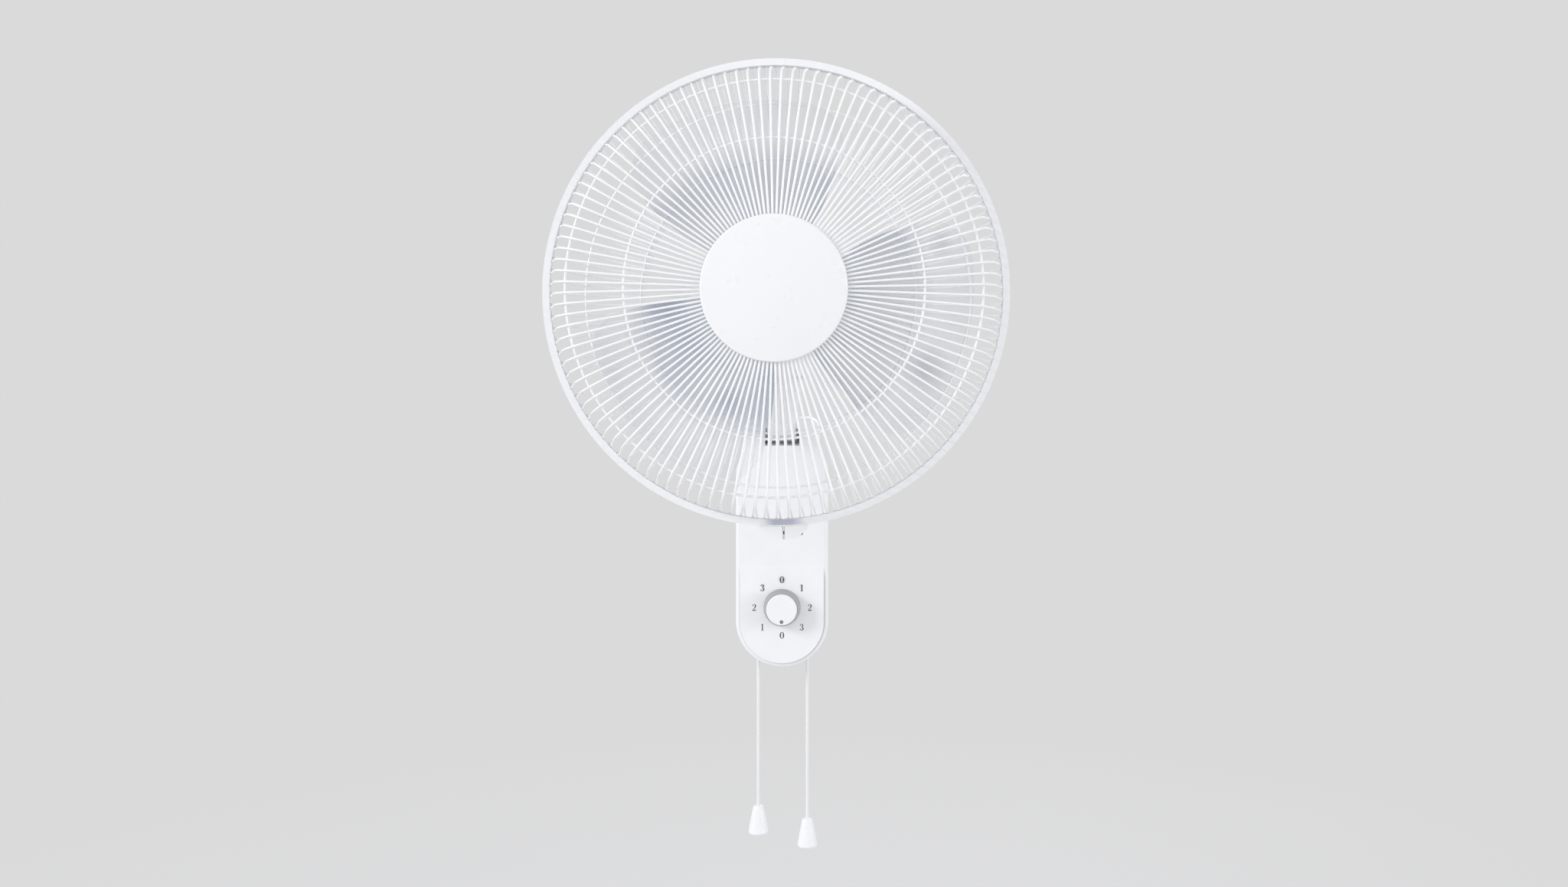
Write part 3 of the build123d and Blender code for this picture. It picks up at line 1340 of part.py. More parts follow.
clamp_screw_form = pan_screw(clamp_screw_radius, clamp_seat + clamp_foot_width + clamp_screw_end,
                             clamp_head_radius, clamp_head_height)
with BuildPart() as clamp_screw:
    with Locations(Plane(origin=screw_place.offset(clamp_seat).origin, x_dir=(0, -1, 0),
                         z_dir=(-clamp_x_dir[0], 0, -clamp_x_dir[2]))):
        add(clamp_screw_form)
with BuildPart() as clamp_nut:
    with BuildSketch(screw_place.offset(-clamp_foot_width)):
        RegularPolygon(clamp_nut_radius, hex_sides)
        Circle(clamp_screw_radius + press_gap, mode=Mode.SUBTRACT)
    extrude(amount=-clamp_nut_height)
with BuildPart() as clamp_bridge_plate:
    with BuildSketch(clamp_face(rim_out + band_half - rim_wall)):
        Circle(rim_radius - rim_wall - seat_gap)
        Circle(rim_radius - rim_lip, mode=Mode.SUBTRACT)
        with Locations((0, -rim_radius)):
            Rectangle(2 * (clamp_bridge - seat_gap), 2 * band_cut, mode=Mode.INTERSECT)
    extrude(amount=rim_wall)

# ================================================================ rotor
hub_back_out = rotor_out - hub_half_depth
hub_front_out = rotor_out + hub_half_depth
boss_back_out = hub_back_out - hub_boss_tail
hub_bore = shaft_radius + press_gap
spinner_out = hub_front_out + seat_gap
shaft_front_out = spinner_out + spinner_height - spinner_roof
drive_pin_out = boss_back_out + drive_pin_radius + 1.0

with BuildPart() as motor_shaft:
    rod(facing_out(shaft_back_out, head_z), shaft_radius, shaft_front_out - shaft_back_out)
    chamfer(motor_shaft.faces().sort_by(Axis.Y)[0].edges(), shaft_chamfer)
    rod(facing_right(-shaft_radius - 1, drive_pin_out, head_z), drive_pin_radius + press_gap,
        2 * shaft_radius + 2, mode=Mode.SUBTRACT)
with BuildPart() as rotor_core:
    rod(facing_out(stator_back_out, head_z), stator_bore - air_gap, stator_length, bore=hub_bore)
    for start in (stator_back_out - end_ring_length, stator_back_out + stator_length):
        rod(facing_out(start, head_z), stator_bore - 2, end_ring_length,
            bore=stator_bore - 2 - end_ring_width)
with BuildPart() as shaft_washers:
    for low, high in (
        (bearing_back_out + bearing_length, stator_back_out),
        (stator_back_out + stator_length, bearing_front_out),
    ):
        rod(facing_out(low + seat_gap, head_z), shaft_washer_radius, high - low - 2 * seat_gap,
            bore=hub_bore)
with BuildPart() as drive_pin:
    rod(facing_right(-drive_pin_length / 2, drive_pin_out, head_z), drive_pin_radius,
        drive_pin_length)


def blade_place(turn, distance):
    """Plane square to a blade's middle line, with X to its leading edge and Y to the room."""
    along = Vector(cos(radians(turn)), 0, sin(radians(turn)))
    return Plane(
        origin=Vector(0, -rotor_out, head_z) + along * distance,
        x_dir=(along.Z, 0, -along.X), z_dir=-along,
    )


blade_sheet_half = blade_tip * sin(radians(blade_trail)) + sheet_margin
blade_sections = (     # distance from the axis, slope of the section and depth of its hollow
    (hub_radius - sheet_start, 0.60, 4.0),
    (90.0, 0.38, 7.0),
    (140.0, 0.31, 8.0),
    (blade_tip + sheet_over, 0.27, 8.0),
)


def blade_sheet(turn):
    """Twisted sheet, hollow towards the room and wider than the blade that is cut from it."""
    half = blade_thickness / 2
    side = blade_sheet_half
    with BuildPart() as sheet:
        for distance, slope, hollow in blade_sections:
            rise = slope * side
            with BuildSketch(blade_place(turn, distance)):
                with BuildLine():
                    ThreePointArc((-side, rise - half), (0, -hollow - half), (side, -rise - half))
                    Line((side, -rise - half), (side, -rise + half))
                    ThreePointArc((side, -rise + half), (0, -hollow + half), (-side, rise + half))
                    Line((-side, rise + half), (-side, rise - half))
                make_face()
        loft()
    return sheet.part


def blade_outline(turn):
    """Outline of one blade in the front view, as a prism along the rotor axis."""
    def spot(radius, angle):
        heading = radians(turn - angle)
        return radius * cos(heading), radius * sin(heading)

    root = hub_radius - hub_wall / 2
    bow = blade_tip - bow_inset
    with BuildPart() as prism:
        with BuildSketch(facing_out(rotor_out - blade_sheet_half, head_z)) as outline:
            with BuildLine():
                ThreePointArc(spot(root, blade_root_turn), spot(root, 0), spot(root, -blade_root_turn))
                ThreePointArc(
                    spot(root, -blade_root_turn), spot(bow, -blade_trail - trail_bow),
                    spot(blade_tip, -blade_trail),
                )
                ThreePointArc(
                    spot(blade_tip, -blade_trail), spot(blade_tip, 0), spot(blade_tip, blade_lead)
                )
                ThreePointArc(
                    spot(blade_tip, blade_lead), spot(bow, blade_lead + lead_bow),
                    spot(root, blade_root_turn),
                )
            make_face()
            lead = outline.vertices().sort_by_distance((*spot(blade_tip, blade_lead), 0))[0]
            fillet(lead, lead_round)
            trail = outline.vertices().sort_by_distance((*spot(blade_tip, -blade_trail), 0))[0]
            fillet(trail, trail_round)
        extrude(amount=2 * blade_sheet_half)
    return prism.part


with BuildPart() as blade_rotor:
    turned([
        (hub_back_out, hub_radius - hub_wall), (hub_back_out, hub_radius),
        (hub_front_out - hub_bevel_height, hub_radius), (hub_front_out, hub_radius - hub_bevel),
        (hub_front_out, hub_bore), (boss_back_out, hub_bore), (boss_back_out, hub_boss_radius),
        (hub_front_out - hub_wall, hub_boss_radius),
        (hub_front_out - hub_wall, hub_radius - hub_bevel - 1),
        (hub_front_out - hub_bevel_height - 1, hub_radius - hub_wall),
    ], head_side, head_axis)
    for step in range(blade_count):
        turn = blade_first + step * 360 / blade_count
        blade = blade_sheet(turn) & blade_outline(turn)
        add(blade)
    bar(facing_out(boss_back_out - 1, head_z), 2 * hub_boss_radius + 2,
        2 * (drive_pin_radius + seat_gap), drive_pin_out - boss_back_out + 1 + drive_pin_radius
        + seat_gap, mode=Mode.SUBTRACT)

with BuildPart() as spinner_nut:
    turned([
        (spinner_out, hub_bore), (spinner_out, spinner_radius),
        (spinner_out + spinner_flange, spinner_radius),
        (spinner_out + spinner_flange + spinner_step, spinner_radius - spinner_step_inset),
        (spinner_out + spinner_height - spinner_nose, spinner_nose_radius),
        (spinner_out + spinner_height, spinner_tip_radius), (spinner_out + spinner_height, 0),
        (shaft_front_out + 1, 0), (shaft_front_out + 1, hub_bore),
    ], head_side, head_axis)
    with BuildSketch(facing_out(spinner_out, head_z)):
        with PolarLocations(spinner_radius + spinner_grip_depth, spinner_grips):
            Circle(spinner_grip_radius)
    extrude(amount=spinner_grip_length, mode=Mode.SUBTRACT)

# ================================================================ write every piece
pieces = {
    "wall_plate": wall_plate, "base_rear_shell": base_rear_shell,
    "base_front_shell": base_front_shell, "base_screws": base_screws,
    "cable_gland": cable_gland, "cord_bushes": cord_bushes, "tilt_bolt": tilt_bolt,
    "tilt_nut": tilt_nut, "tilt_washers": tilt_washers, "ear_caps": ear_caps,
    "speed_switch": speed_switch, "oscillation_switch": oscillation_switch,
    "capacitor": capacitor, "terminal_block": terminal_block,
    "speed_pull_rod": speed_pull_rod, "oscillation_pull_rod": oscillation_pull_rod,
    "knob_body": knob_body, "knob_cap": knob_cap, "knob_shaft": knob_shaft,
    "speed_cord": speed_cord, "oscillation_cord": oscillation_cord,
    "speed_bell": speed_bell, "oscillation_bell": oscillation_bell,
    "neck": neck, "swing_bush": swing_bush, "link_post": link_post,
    "swing_pin": swing_pin, "swing_washer": swing_washer, "swing_screw": swing_screw,
    "cradle": cradle, "drive_motor": drive_motor, "crank": crank, "swing_link": swing_link,
    "motor_front_frame": motor_front_frame, "motor_rear_frame": motor_rear_frame,
    "frame_screws": frame_screws, "stator_core": stator_core,
    "stator_windings": stator_windings, "shaft_bearings": shaft_bearings,
    "motor_front_cover": motor_front_cover, "motor_rear_cover": motor_rear_cover,
    "front_guard_wires": front_guard_wires, "rear_guard_wires": rear_guard_wires,
    "front_guard_rings": front_guard_rings, "rear_guard_rings": rear_guard_rings,
    "front_guard_plate": front_guard_plate, "rear_guard_plate": rear_guard_plate,
    "badge": badge, "guard_lock_nut": guard_lock_nut, "rim_band": rim_band,
    "clamp_lugs": clamp_lugs, "clamp_screw": clamp_screw, "clamp_nut": clamp_nut,
    "clamp_bridge_plate": clamp_bridge_plate,
    "motor_shaft": motor_shaft, "rotor_core": rotor_core, "shaft_washers": shaft_washers,
    "drive_pin": drive_pin, "blade_rotor": blade_rotor, "spinner_nut": spinner_nut,
}
for label, block in pieces.items():
    keep(block, label)
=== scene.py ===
"""Looks of a wall-mounted fan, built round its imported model. Metres throughout.

Order: frame, camera, shared places, materials, pull cords, dial figures, set and lamps, finish.
"""

import json
import math

import bmesh
import bpy
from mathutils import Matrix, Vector


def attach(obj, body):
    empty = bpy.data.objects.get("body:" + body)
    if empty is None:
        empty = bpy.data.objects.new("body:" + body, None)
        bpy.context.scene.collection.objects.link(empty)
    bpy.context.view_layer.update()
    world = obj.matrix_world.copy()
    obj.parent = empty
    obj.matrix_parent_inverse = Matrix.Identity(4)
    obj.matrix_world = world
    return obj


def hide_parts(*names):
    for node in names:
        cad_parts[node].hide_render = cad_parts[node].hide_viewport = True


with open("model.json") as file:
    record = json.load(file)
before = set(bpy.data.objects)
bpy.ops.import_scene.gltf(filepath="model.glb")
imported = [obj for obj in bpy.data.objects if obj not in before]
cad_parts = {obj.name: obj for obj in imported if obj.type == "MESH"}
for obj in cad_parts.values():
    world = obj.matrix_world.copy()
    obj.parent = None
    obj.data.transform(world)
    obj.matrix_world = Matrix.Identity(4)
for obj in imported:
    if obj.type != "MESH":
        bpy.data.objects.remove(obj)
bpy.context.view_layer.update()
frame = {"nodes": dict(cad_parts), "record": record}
nodes = frame["nodes"]
joint_place = {joint["name"]: joint.get("pos_m") for joint in frame["record"]["behaviour"]["joints"]}

# ---------------------------------------------------------------- camera
IMAGE_WIDTH, IMAGE_HEIGHT = 2048, 1158
FOCAL_PX = 1865
CENTRE_PX = (1073.4, 494.6)     # where the line of sight meets the image
CAMERA_PLACE = (0.043, -1.61, 0.1685)

camera_data = bpy.data.cameras.new("camera")
camera_data.sensor_width = 36
camera_data.lens = FOCAL_PX / IMAGE_WIDTH * camera_data.sensor_width
camera_data.shift_x = (IMAGE_WIDTH / 2 - CENTRE_PX[0]) / IMAGE_WIDTH
camera_data.shift_y = (CENTRE_PX[1] - IMAGE_HEIGHT / 2) / IMAGE_WIDTH
camera = bpy.data.objects.new("camera", camera_data)
camera.location = CAMERA_PLACE
camera.rotation_euler = (math.pi / 2, 0, 0)    # level, into the wall
bpy.context.scene.collection.objects.link(camera)
bpy.context.scene.camera = camera

# ---------------------------------------------------------------- places that several looks share
HEAD_Z = joint_place["rotor_spin"][2]
PANEL_OUT, DIAL_Z = joint_place["knob_turn"][1:]    # the panel's face and the dial's centre
CLAMP_TURN = math.radians(1.8)  # the rim clamp's place, off straight down from the rotor's axis
PANEL_RADIUS = 0.0458           # foot of the raised panel on the base's front
PANEL_ROUND_Z = -0.093          # centre of the panel's round lower end
PANEL_FOOT = (-0.067, -0.064)   # the painted shade line round the panel fades between these depths
PANEL_LINE_TOP = (-0.045, -0.036)   # and between these heights
KNOB_MARK_Z = DIAL_Z - 0.0128   # centre of the mark on the knob's face
CORD_SIDE = 0.027               # the pull cords, left and right of the middle
CORD_OUT = -0.036
WHITE = (0.9, 0.9, 0.912)       # the white mouldings
WHITE_DEEP = (0.875, 0.876, 0.89)   # and their flow marks


# ---------------------------------------------------------------- materials
class Look:
    """A procedural material on one Principled shader, in the frame's own coordinates."""

    def __init__(self, name, **sockets):
        self.material = bpy.data.materials.new(name)
        self.material.use_nodes = True
        self.tree = self.material.node_tree
        self.shader = self.tree.nodes["Principled BSDF"]
        self.place = self.add("ShaderNodeTexCoord").outputs["Object"]
        for socket, value in sockets.items():
            self.shader.inputs[socket.replace("_", " ")].default_value = value

    def add(self, kind, **inputs):
        """New node of a kind, with its named sockets fed."""
        node = self.tree.nodes.new(kind)
        for socket, value in inputs.items():
            self.feed(node.inputs[socket.replace("_", " ")], value)
        return node

    def feed(self, socket, value):
        """Links a socket to another node's output, or sets it to a value."""
        if isinstance(value, bpy.types.NodeSocket):
            self.tree.links.new(value, socket)
        else:
            socket.default_value = value

    def maths(self, operation, *values):
        """Result of a sum on one or two values."""
        node = self.tree.nodes.new("ShaderNodeMath")
        node.operation = operation
        for socket, value in zip(node.inputs, values):
            self.feed(socket, value)
        return node.outputs[0]

    def stretched(self, scale):
        """Place with each axis scaled, for a pattern that is drawn out along one."""
        return self.add("ShaderNodeMapping", Vector=self.place, Scale=scale).outputs[0]

    def distance(self, side, height):
        """Distance in the front view from a point, given by its X and Z."""
        x, _, z = self.add("ShaderNodeSeparateXYZ", Vector=self.place).outputs
        across = self.maths("SUBTRACT", x, side)
        up = self.maths("SUBTRACT", z, height)
        return self.maths("SQRT", self.maths("ADD", self.maths("MULTIPLY", across, across),
                                             self.maths("MULTIPLY", up, up)))

    def from_clamp_line(self):
        """Distance in the front view from the line that the rim clamp lies on."""
        x, _, z = self.add("ShaderNodeSeparateXYZ", Vector=self.place).outputs
        across = self.maths("MULTIPLY", x, math.cos(CLAMP_TURN))
        down = self.maths("MULTIPLY", self.maths("SUBTRACT", z, HEAD_Z), math.sin(CLAMP_TURN))
        return self.maths("ABSOLUTE", self.maths("ADD", across, down))

    def noise(self, scale, detail=3.0, place=None):
        """Cloudy pattern, most of it between 0.3 and 0.7."""
        node = self.add("ShaderNodeTexNoise", Vector=place or self.place, Scale=scale,
                        Detail=detail)
        return node.outputs["Fac"]

    def cells(self, scale):
        """Pattern of cells, each in a colour of its own."""
        return self.add("ShaderNodeTexVoronoi", Vector=self.place, Scale=scale).outputs["Color"]

    def spread(self, value, low, high, start=0.3, end=0.7):
        """Maps a value, so that start to end becomes low to high."""
        node = self.tree.nodes.new("ShaderNodeMapRange")
        for socket, number in zip(node.inputs, (value, start, end, low, high)):
            self.feed(socket, number)
        return node.outputs[0]

    def mix(self, share, first, second):
        """Colour that passes from the first at a share of 0 to the second at 1."""
        node = self.tree.nodes.new("ShaderNodeMix")
        node.data_type = "RGBA"
        factor, colour_a, colour_b = node.inputs[0], node.inputs[6], node.inputs[7]
        for socket, value in zip((factor, colour_a, colour_b), (share, first, second)):
            self.feed(socket, value)
        return node.outputs[2]

    def colour(self, value):
        self.feed(self.shader.inputs["Base Color"], value)

    def roughness(self, value):
        self.feed(self.shader.inputs["Roughness"], value)

    def alpha(self, value):
        self.feed(self.shader.inputs["Alpha"], value)

    def bump(self, height, distance):
        node = self.add("ShaderNodeBump", Height=height, Distance=distance, Strength=1.0)
        self.feed(self.shader.inputs["Normal"], node.outputs[0])

    def white(self):
        """Colour of the white mouldings, with faint flow marks."""
        return self.mix(self.spread(self.noise(40.0, 3.0), 0, 1), (*WHITE, 1), (*WHITE_DEEP, 1))

    def skin(self, gloss, grain=900.0, depth=0.00002):
        """Moulded skin: roughness between the two of gloss, and a fine grain."""
        self.roughness(self.spread(self.noise(60.0, 4.0), *gloss))
        self.bump(self.noise(grain, 3.0), depth)


FLOW_SHARE = 0.75               # of a moulding's marks, where the rest is fine specks


def moulded(name, light, dark, gloss=(0.26, 0.36), grain=900.0, depth=0.00002, **sockets):
    """Injection-moulded plastic: faint flow marks in the colour and a fine skin."""
    look = Look(name, **sockets)
    flow = look.noise(9.0, 4.0, look.stretched((1.0, 1.0, 0.35)))
    speck = look.noise(420.0, 2.0)
    marks = look.maths("ADD", look.maths("MULTIPLY", flow, FLOW_SHARE),
                       look.maths("MULTIPLY", speck, 1 - FLOW_SHARE))
    look.colour(look.mix(look.spread(marks, 0, 1), (*light, 1), (*dark, 1)))
    look.skin(gloss, grain, depth)
    return look.material


def metal(name, light, dark, gloss, scale, stretch=(1.0, 1.0, 1.0), depth=0.00003):
    """Bare or plated metal with a grain that may be drawn out along one axis."""
    look = Look(name, Metallic=1.0)
    grain = look.noise(scale, 5.0, look.stretched(stretch))
    look.colour(look.mix(look.spread(grain, 0, 1), (*light, 1), (*dark, 1)))
    look.roughness(look.spread(grain, *gloss))
    look.bump(grain, depth)
    return look.material


def coated_wire(name, light, deep):
    """Steel wire under white powder coat, with the coat's slight orange peel."""
    look = Look(name, Coat_Weight=0.35, Coat_Roughness=0.12)
    look.colour(look.mix(look.spread(look.noise(35.0, 3.0), 0, 1), (*light, 1), (*deep, 1)))
    look.roughness(look.spread(look.noise(240.0, 2.0), 0.3, 0.42))
    look.bump(look.noise(1400.0, 2.0), 0.00002)
    return look.material


BLADE_DENSE = 0.36              # how opaque the blades are by the hub
BLADE_THIN = 0.06               # and at their tips
BLADE_FADE = (0.128, 0.15)      # radii between which they thin out
BLADE_BLEACH = (0.11, 0.16)     # radii between which their blue pales
THIN_SIDE = (0.1, 0.19)         # X and Z of the middle of the side that looks thinner
THIN_REACH = (0.03, 0.11)       # the thinning ends between these distances from there
THIN_SHARE = 0.45               # of the shade that is left in its middle
# darker patches on the blades: the two on the right are painted dark reflections, the two on the
# left denser tint; X and Z of the middle, radius, density
BLADE_PATCHES_AND_REFLECTIONS = (
    (0.143, 0.178, 0.026, 0.32),
    (0.154, 0.296, 0.014, 0.25),
    (-0.110, 0.243, 0.022, 0.35),
    (-0.046, 0.146, 0.018, 0.2),
)


def clear_blade():
    """Clear bluish moulding, densest by the hub and thin towards the tips."""
    look = Look("clear_blade", Specular_IOR_Level=0.35)
    radius = look.distance(0.0, HEAD_Z)
    streaks = look.noise(26.0, 4.0)
    clouds = look.noise(7.0, 2.0)
    edge = look.maths("ADD", radius, look.spread(streaks, -0.008, 0.008))
    tint = look.maths("MULTIPLY", look.spread(edge, BLADE_DENSE, BLADE_THIN, *BLADE_FADE),
                      look.spread(clouds, 0.6, 1.5))
    thin_side = look.spread(look.distance(*THIN_SIDE), THIN_SHARE, 1, *THIN_REACH)
    shade = look.maths("ADD", look.maths("MULTIPLY", tint, thin_side),
                       look.spread(streaks, -0.02, 0.04))
    # the two right-hand patches are painted reflection, darkening the blades where a dark thing
    # shows in their gloss
    for side, height, size, depth in BLADE_PATCHES_AND_REFLECTIONS:
        dark_patch = look.spread(look.distance(side, height), depth, 0, 0.15 * size, size)
        shade = look.maths("ADD", shade, dark_patch)
    look.alpha(shade)
    look.colour(look.mix(look.spread(radius, 0, 1, *BLADE_BLEACH),
                         (0.38, 0.43, 0.52, 1), (0.55, 0.59, 0.66, 1)))
    look.roughness(look.spread(look.noise(80.0, 3.0), 0.28, 0.42))
    look.bump(look.noise(140.0, 3.0), 0.00002)
    return look.material


MARK_HEART = (0.0006, 0.0011)   # radii where the mark's paler heart ends
MARK_RIM = (0.0018, 0.0021)     # radii where the mark ends


def knob_top():
    """White knob face with its grey mark at the foot."""
    look = Look("knob_top", Coat_Weight=0.25, Coat_Roughness=0.12)
    from_mark = look.distance(0.0, KNOB_MARK_Z)
    mark = look.mix(look.spread(from_mark, 0, 1, *MARK_HEART),
                    (0.5, 0.51, 0.54, 1), (0.2, 0.21, 0.23, 1))
    look.colour(look.mix(look.spread(from_mark, 0, 1, *MARK_RIM), mark, look.white()))
    look.skin((0.24, 0.34))
    return look.material


PANEL_LINE = (0.0003, 0.001)    # half widths between which the panel's painted shade line fades
PANEL_SIDES = (-0.03, 0.03)     # and the painted shade grows stronger from left to right, the side away from the key lamp
PANEL_LEFT = 0.35               # the left side's share of its strength


def panel_shell_painted_shade():
    """White moulding with a painted shade line round the raised panel, where its step would be in
    shadow, strongest on the right.
    """
    look = Look("panel_shell_painted_shade", Coat_Weight=0.25, Coat_Roughness=0.1)
    x, y, z = look.add("ShaderNodeSeparateXYZ", Vector=look.place).outputs
    below = look.maths("MINIMUM", look.maths("SUBTRACT", z, PANEL_ROUND_Z), 0)
    reach = look.maths("SQRT", look.maths("ADD", look.maths("MULTIPLY", x, x),
                                          look.maths("MULTIPLY", below, below)))
    off = look.maths("ABSOLUTE", look.maths("SUBTRACT", reach, PANEL_RADIUS))
    line = look.spread(off, 1, 0, *PANEL_LINE)
    low = look.spread(z, 1, 0, *PANEL_LINE_TOP)
    front = look.spread(y, 1, 0, *PANEL_FOOT)
    right = look.spread(x, PANEL_LEFT, 1, *PANEL_SIDES)
    # painted shade: a dark line along the panel's step, stronger on the right, away from the key
    # lamp
    painted_step_shade = look.maths("MULTIPLY", look.maths("MULTIPLY", line, low),
                      look.maths("MULTIPLY", front, right))
    look.colour(look.mix(painted_step_shade, look.white(), (0.6, 0.61, 0.65, 1)))
    look.skin((0.28, 0.38))
    return look.material


BRIDGE_FADE = (0.009, 0.021)    # the painted shade fades from the bridge's middle to its ends
SPLIT_FADE = (0.0006, 0.0011)   # half widths between which the painted shadow line of the split fades


def bridge_plate():
    """Grey on the plate's moulding as painted shade of the rim band's shaded inside, paling to white
    towards its two ends.
    """
    look = Look("bridge_plate")
    flow = look.spread(look.noise(40.0, 3.0), 0, 1)
    # painted shade: the grey in the plate's middle
    middle = look.mix(flow, (0.5, 0.52, 0.62, 1), (0.45, 0.47, 0.57, 1))
    fade = look.spread(look.from_clamp_line(), 0, 1, *BRIDGE_FADE)
    look.colour(look.mix(fade, middle, look.white()))
    look.skin((0.35, 0.5))
    return look.material


def lugs_painted_split_shadow():
    """White moulding with a painted shadow line where the two lugs meet, standing in for the shaded
    gap.
    """
    look = Look("lugs_painted_split_shadow", Coat_Weight=0.25, Coat_Roughness=0.12)
    fade = look.spread(look.from_clamp_line(), 0, 1, *SPLIT_FADE)
    # painted shadow: dark along the split between the lugs
    look.colour(look.mix(fade, (0.12, 0.12, 0.13, 1), look.white()))
    look.skin((0.28, 0.38))
    return look.material


def laminated():
    """Stacked sheets: fine lines square to the shaft, with varnish over them."""
    look = Look("lamination", Metallic=0.7)
    sheets = look.add("ShaderNodeTexWave", Vector=look.place, Scale=320.0, Distortion=0.4)
    sheets.bands_direction = "Y"
    look.colour(look.mix(sheets.outputs["Fac"], (0.05, 0.05, 0.055, 1), (0.2, 0.2, 0.21, 1)))
    look.roughness(look.spread(look.noise(120.0, 3.0), 0.4, 0.6))
    look.bump(sheets.outputs["Fac"], 0.0001)
    return look.material


def wound_copper():
    """Enamelled turns that run round the shaft."""
    look = Look("copper", Metallic=0.9, Coat_Weight=0.5, Coat_Roughness=0.2)
    turns = look.add("ShaderNodeTexWave", Vector=look.place, Scale=260.0, Distortion=3.0,
                     Detail=2.0)
    turns.wave_type = "RINGS"
    turns.rings_direction = "Y"
    look.colour(look.mix(turns.outputs["Fac"], (0.28, 0.09, 0.035, 1), (0.62, 0.27, 0.12, 1)))
    look.roughness(look.spread(look.noise(90.0, 3.0), 0.28, 0.45))
    look.bump(turns.outputs["Fac"], 0.0002)
    return look.material


def galvanised():
    """Zinc spangle over pressed sheet."""
    look = Look("plate_steel", Metallic=0.9)
    spangle = look.cells(160.0)
    look.colour(look.mix(spangle, (0.45, 0.46, 0.47, 1), (0.62, 0.63, 0.64, 1)))
    look.roughness(look.spread(look.noise(200.0, 3.0), 0.35, 0.5))
    look.bump(look.noise(500.0, 3.0), 0.00003)
    return look.material


BRAID_STRANDS = 6.0             # strands round the cord, each way
BRAID_PITCH = 3600.0            # radians of a strand's wave in a metre of cord


def braided(name, side):
    """White braid: two sets of strands that cross as they wind round the cord."""
    look = Look(name, Sheen_Weight=0.25, Sheen_Roughness=0.5)
    x, y, z = look.add("ShaderNodeSeparateXYZ", Vector=look.place).outputs
    turn = look.maths("ARCTAN2", look.maths("ADD", y, -CORD_OUT),
                      look.maths("SUBTRACT", x, side))
    around = look.maths("MULTIPLY", turn, BRAID_STRANDS)
    along = look.maths("MULTIPLY", z, BRAID_PITCH)
    strands = look.maths("MULTIPLY", look.maths("SINE", look.maths("ADD", around, along)),
                         look.maths("SINE", look.maths("SUBTRACT", around, along)))
    look.colour(look.mix(look.spread(strands, 0, 1, -1, 1),
                         (0.84, 0.845, 0.86, 1), (0.93, 0.93, 0.94, 1)))
    look.roughness(look.spread(look.noise(600.0, 2.0), 0.55, 0.75))
    look.bump(strands, 0.0001)
    return look.material


finishes = {
    "white_plastic": moulded("white_plastic", WHITE, WHITE_DEEP, Coat_Weight=0.25,
                             Coat_Roughness=0.1),
    "coated_wire": coated_wire("coated_wire", (0.93, 0.935, 0.945), (0.9, 0.905, 0.915)),
    "grey_plastic": moulded("grey_plastic", (0.34, 0.36, 0.4), (0.28, 0.3, 0.34), (0.35, 0.48)),
    "black_plastic": moulded("black_plastic", (0.035, 0.035, 0.038), (0.02, 0.02, 0.022),
                             (0.5, 0.65), 500.0, 0.00004),
    "clear_nylon": moulded("clear_nylon", (0.74, 0.73, 0.66), (0.68, 0.67, 0.6), (0.35, 0.5)),
    "clear_blade": clear_blade(),
    "zinc_steel": metal("zinc_steel", (0.62, 0.63, 0.65), (0.48, 0.49, 0.5), (0.22, 0.36),
                        180.0, (1.0, 1.0, 0.2)),
    "plate_steel": galvanised(),
    "cast_frame": metal("cast_frame", (0.56, 0.57, 0.58), (0.42, 0.43, 0.45), (0.45, 0.62),
                        320.0, depth=0.00012),
    "lamination": laminated(),
    "copper": wound_copper(),
    "bronze": metal("bronze", (0.55, 0.4, 0.2), (0.4, 0.28, 0.13), (0.35, 0.55), 700.0),
    "braided_cord": braided("braided_cord_solid", CORD_SIDE),
}
# painted light: the rear guard gets a whiter copy of the front guard's coat, to brighten rear wires
# that the front guard and blades shade
rear_coat_painted_light = coated_wire("rear_coat_painted_light", (0.98, 0.98, 0.985), (0.96, 0.96, 0.965))
own_finish = {
    "rear_guard_wires": rear_coat_painted_light,
    "rear_guard_rings": rear_coat_painted_light,
    "knob_cap": knob_top(),
    "knob_body": moulded("knob_side", (0.4, 0.41, 0.44), (0.35, 0.36, 0.39)),
    "base_front_shell": panel_shell_painted_shade(),
    "clamp_screw": metal("dark_zinc", (0.2, 0.2, 0.22), (0.14, 0.14, 0.15), (0.3, 0.42), 180.0),
    "clamp_bridge_plate": bridge_plate(),
    "clamp_lugs": lugs_painted_split_shadow(),
}
slot_of = {part["node"]: part["material_slot"] for part in frame["record"]["subparts"]}
for name, node in nodes.items():
    node.data.materials.clear()
    node.data.materials.append(own_finish.get(name, finishes[slot_of[name]]))


# ---------------------------------------------------------------- pull cords
CORD_RADIUS = 0.0017
CORD_TOP = -0.1097
SPEED_CORD_FOOT = -0.3163
OSCILLATION_CORD_FOOT = -0.3308


def pull_cord(name, node, side, foot, body):
    """Braided cord that hangs straight from its pull rod to its bell."""
    curve = bpy.data.curves.new(name, "CURVE")
    curve.dimensions = "3D"
    curve.bevel_depth = CORD_RADIUS
    curve.bevel_resolution = 6
    curve.use_fill_caps = True
    line = curve.splines.new("NURBS")
    heights = (CORD_TOP, (CORD_TOP + foot) / 2, foot)
    line.points.add(len(heights) - 1)
    for point, height in zip(line.points, heights):
        point.co = (side, CORD_OUT, height, 1)
    line.order_u = 3
    line.use_endpoint_u = True
    cord = bpy.data.objects.new(name, curve)
    bpy.context.scene.collection.objects.link(cord)
    curve.materials.append(braided("braid_" + name, side))
    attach(cord, body)
    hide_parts(node)


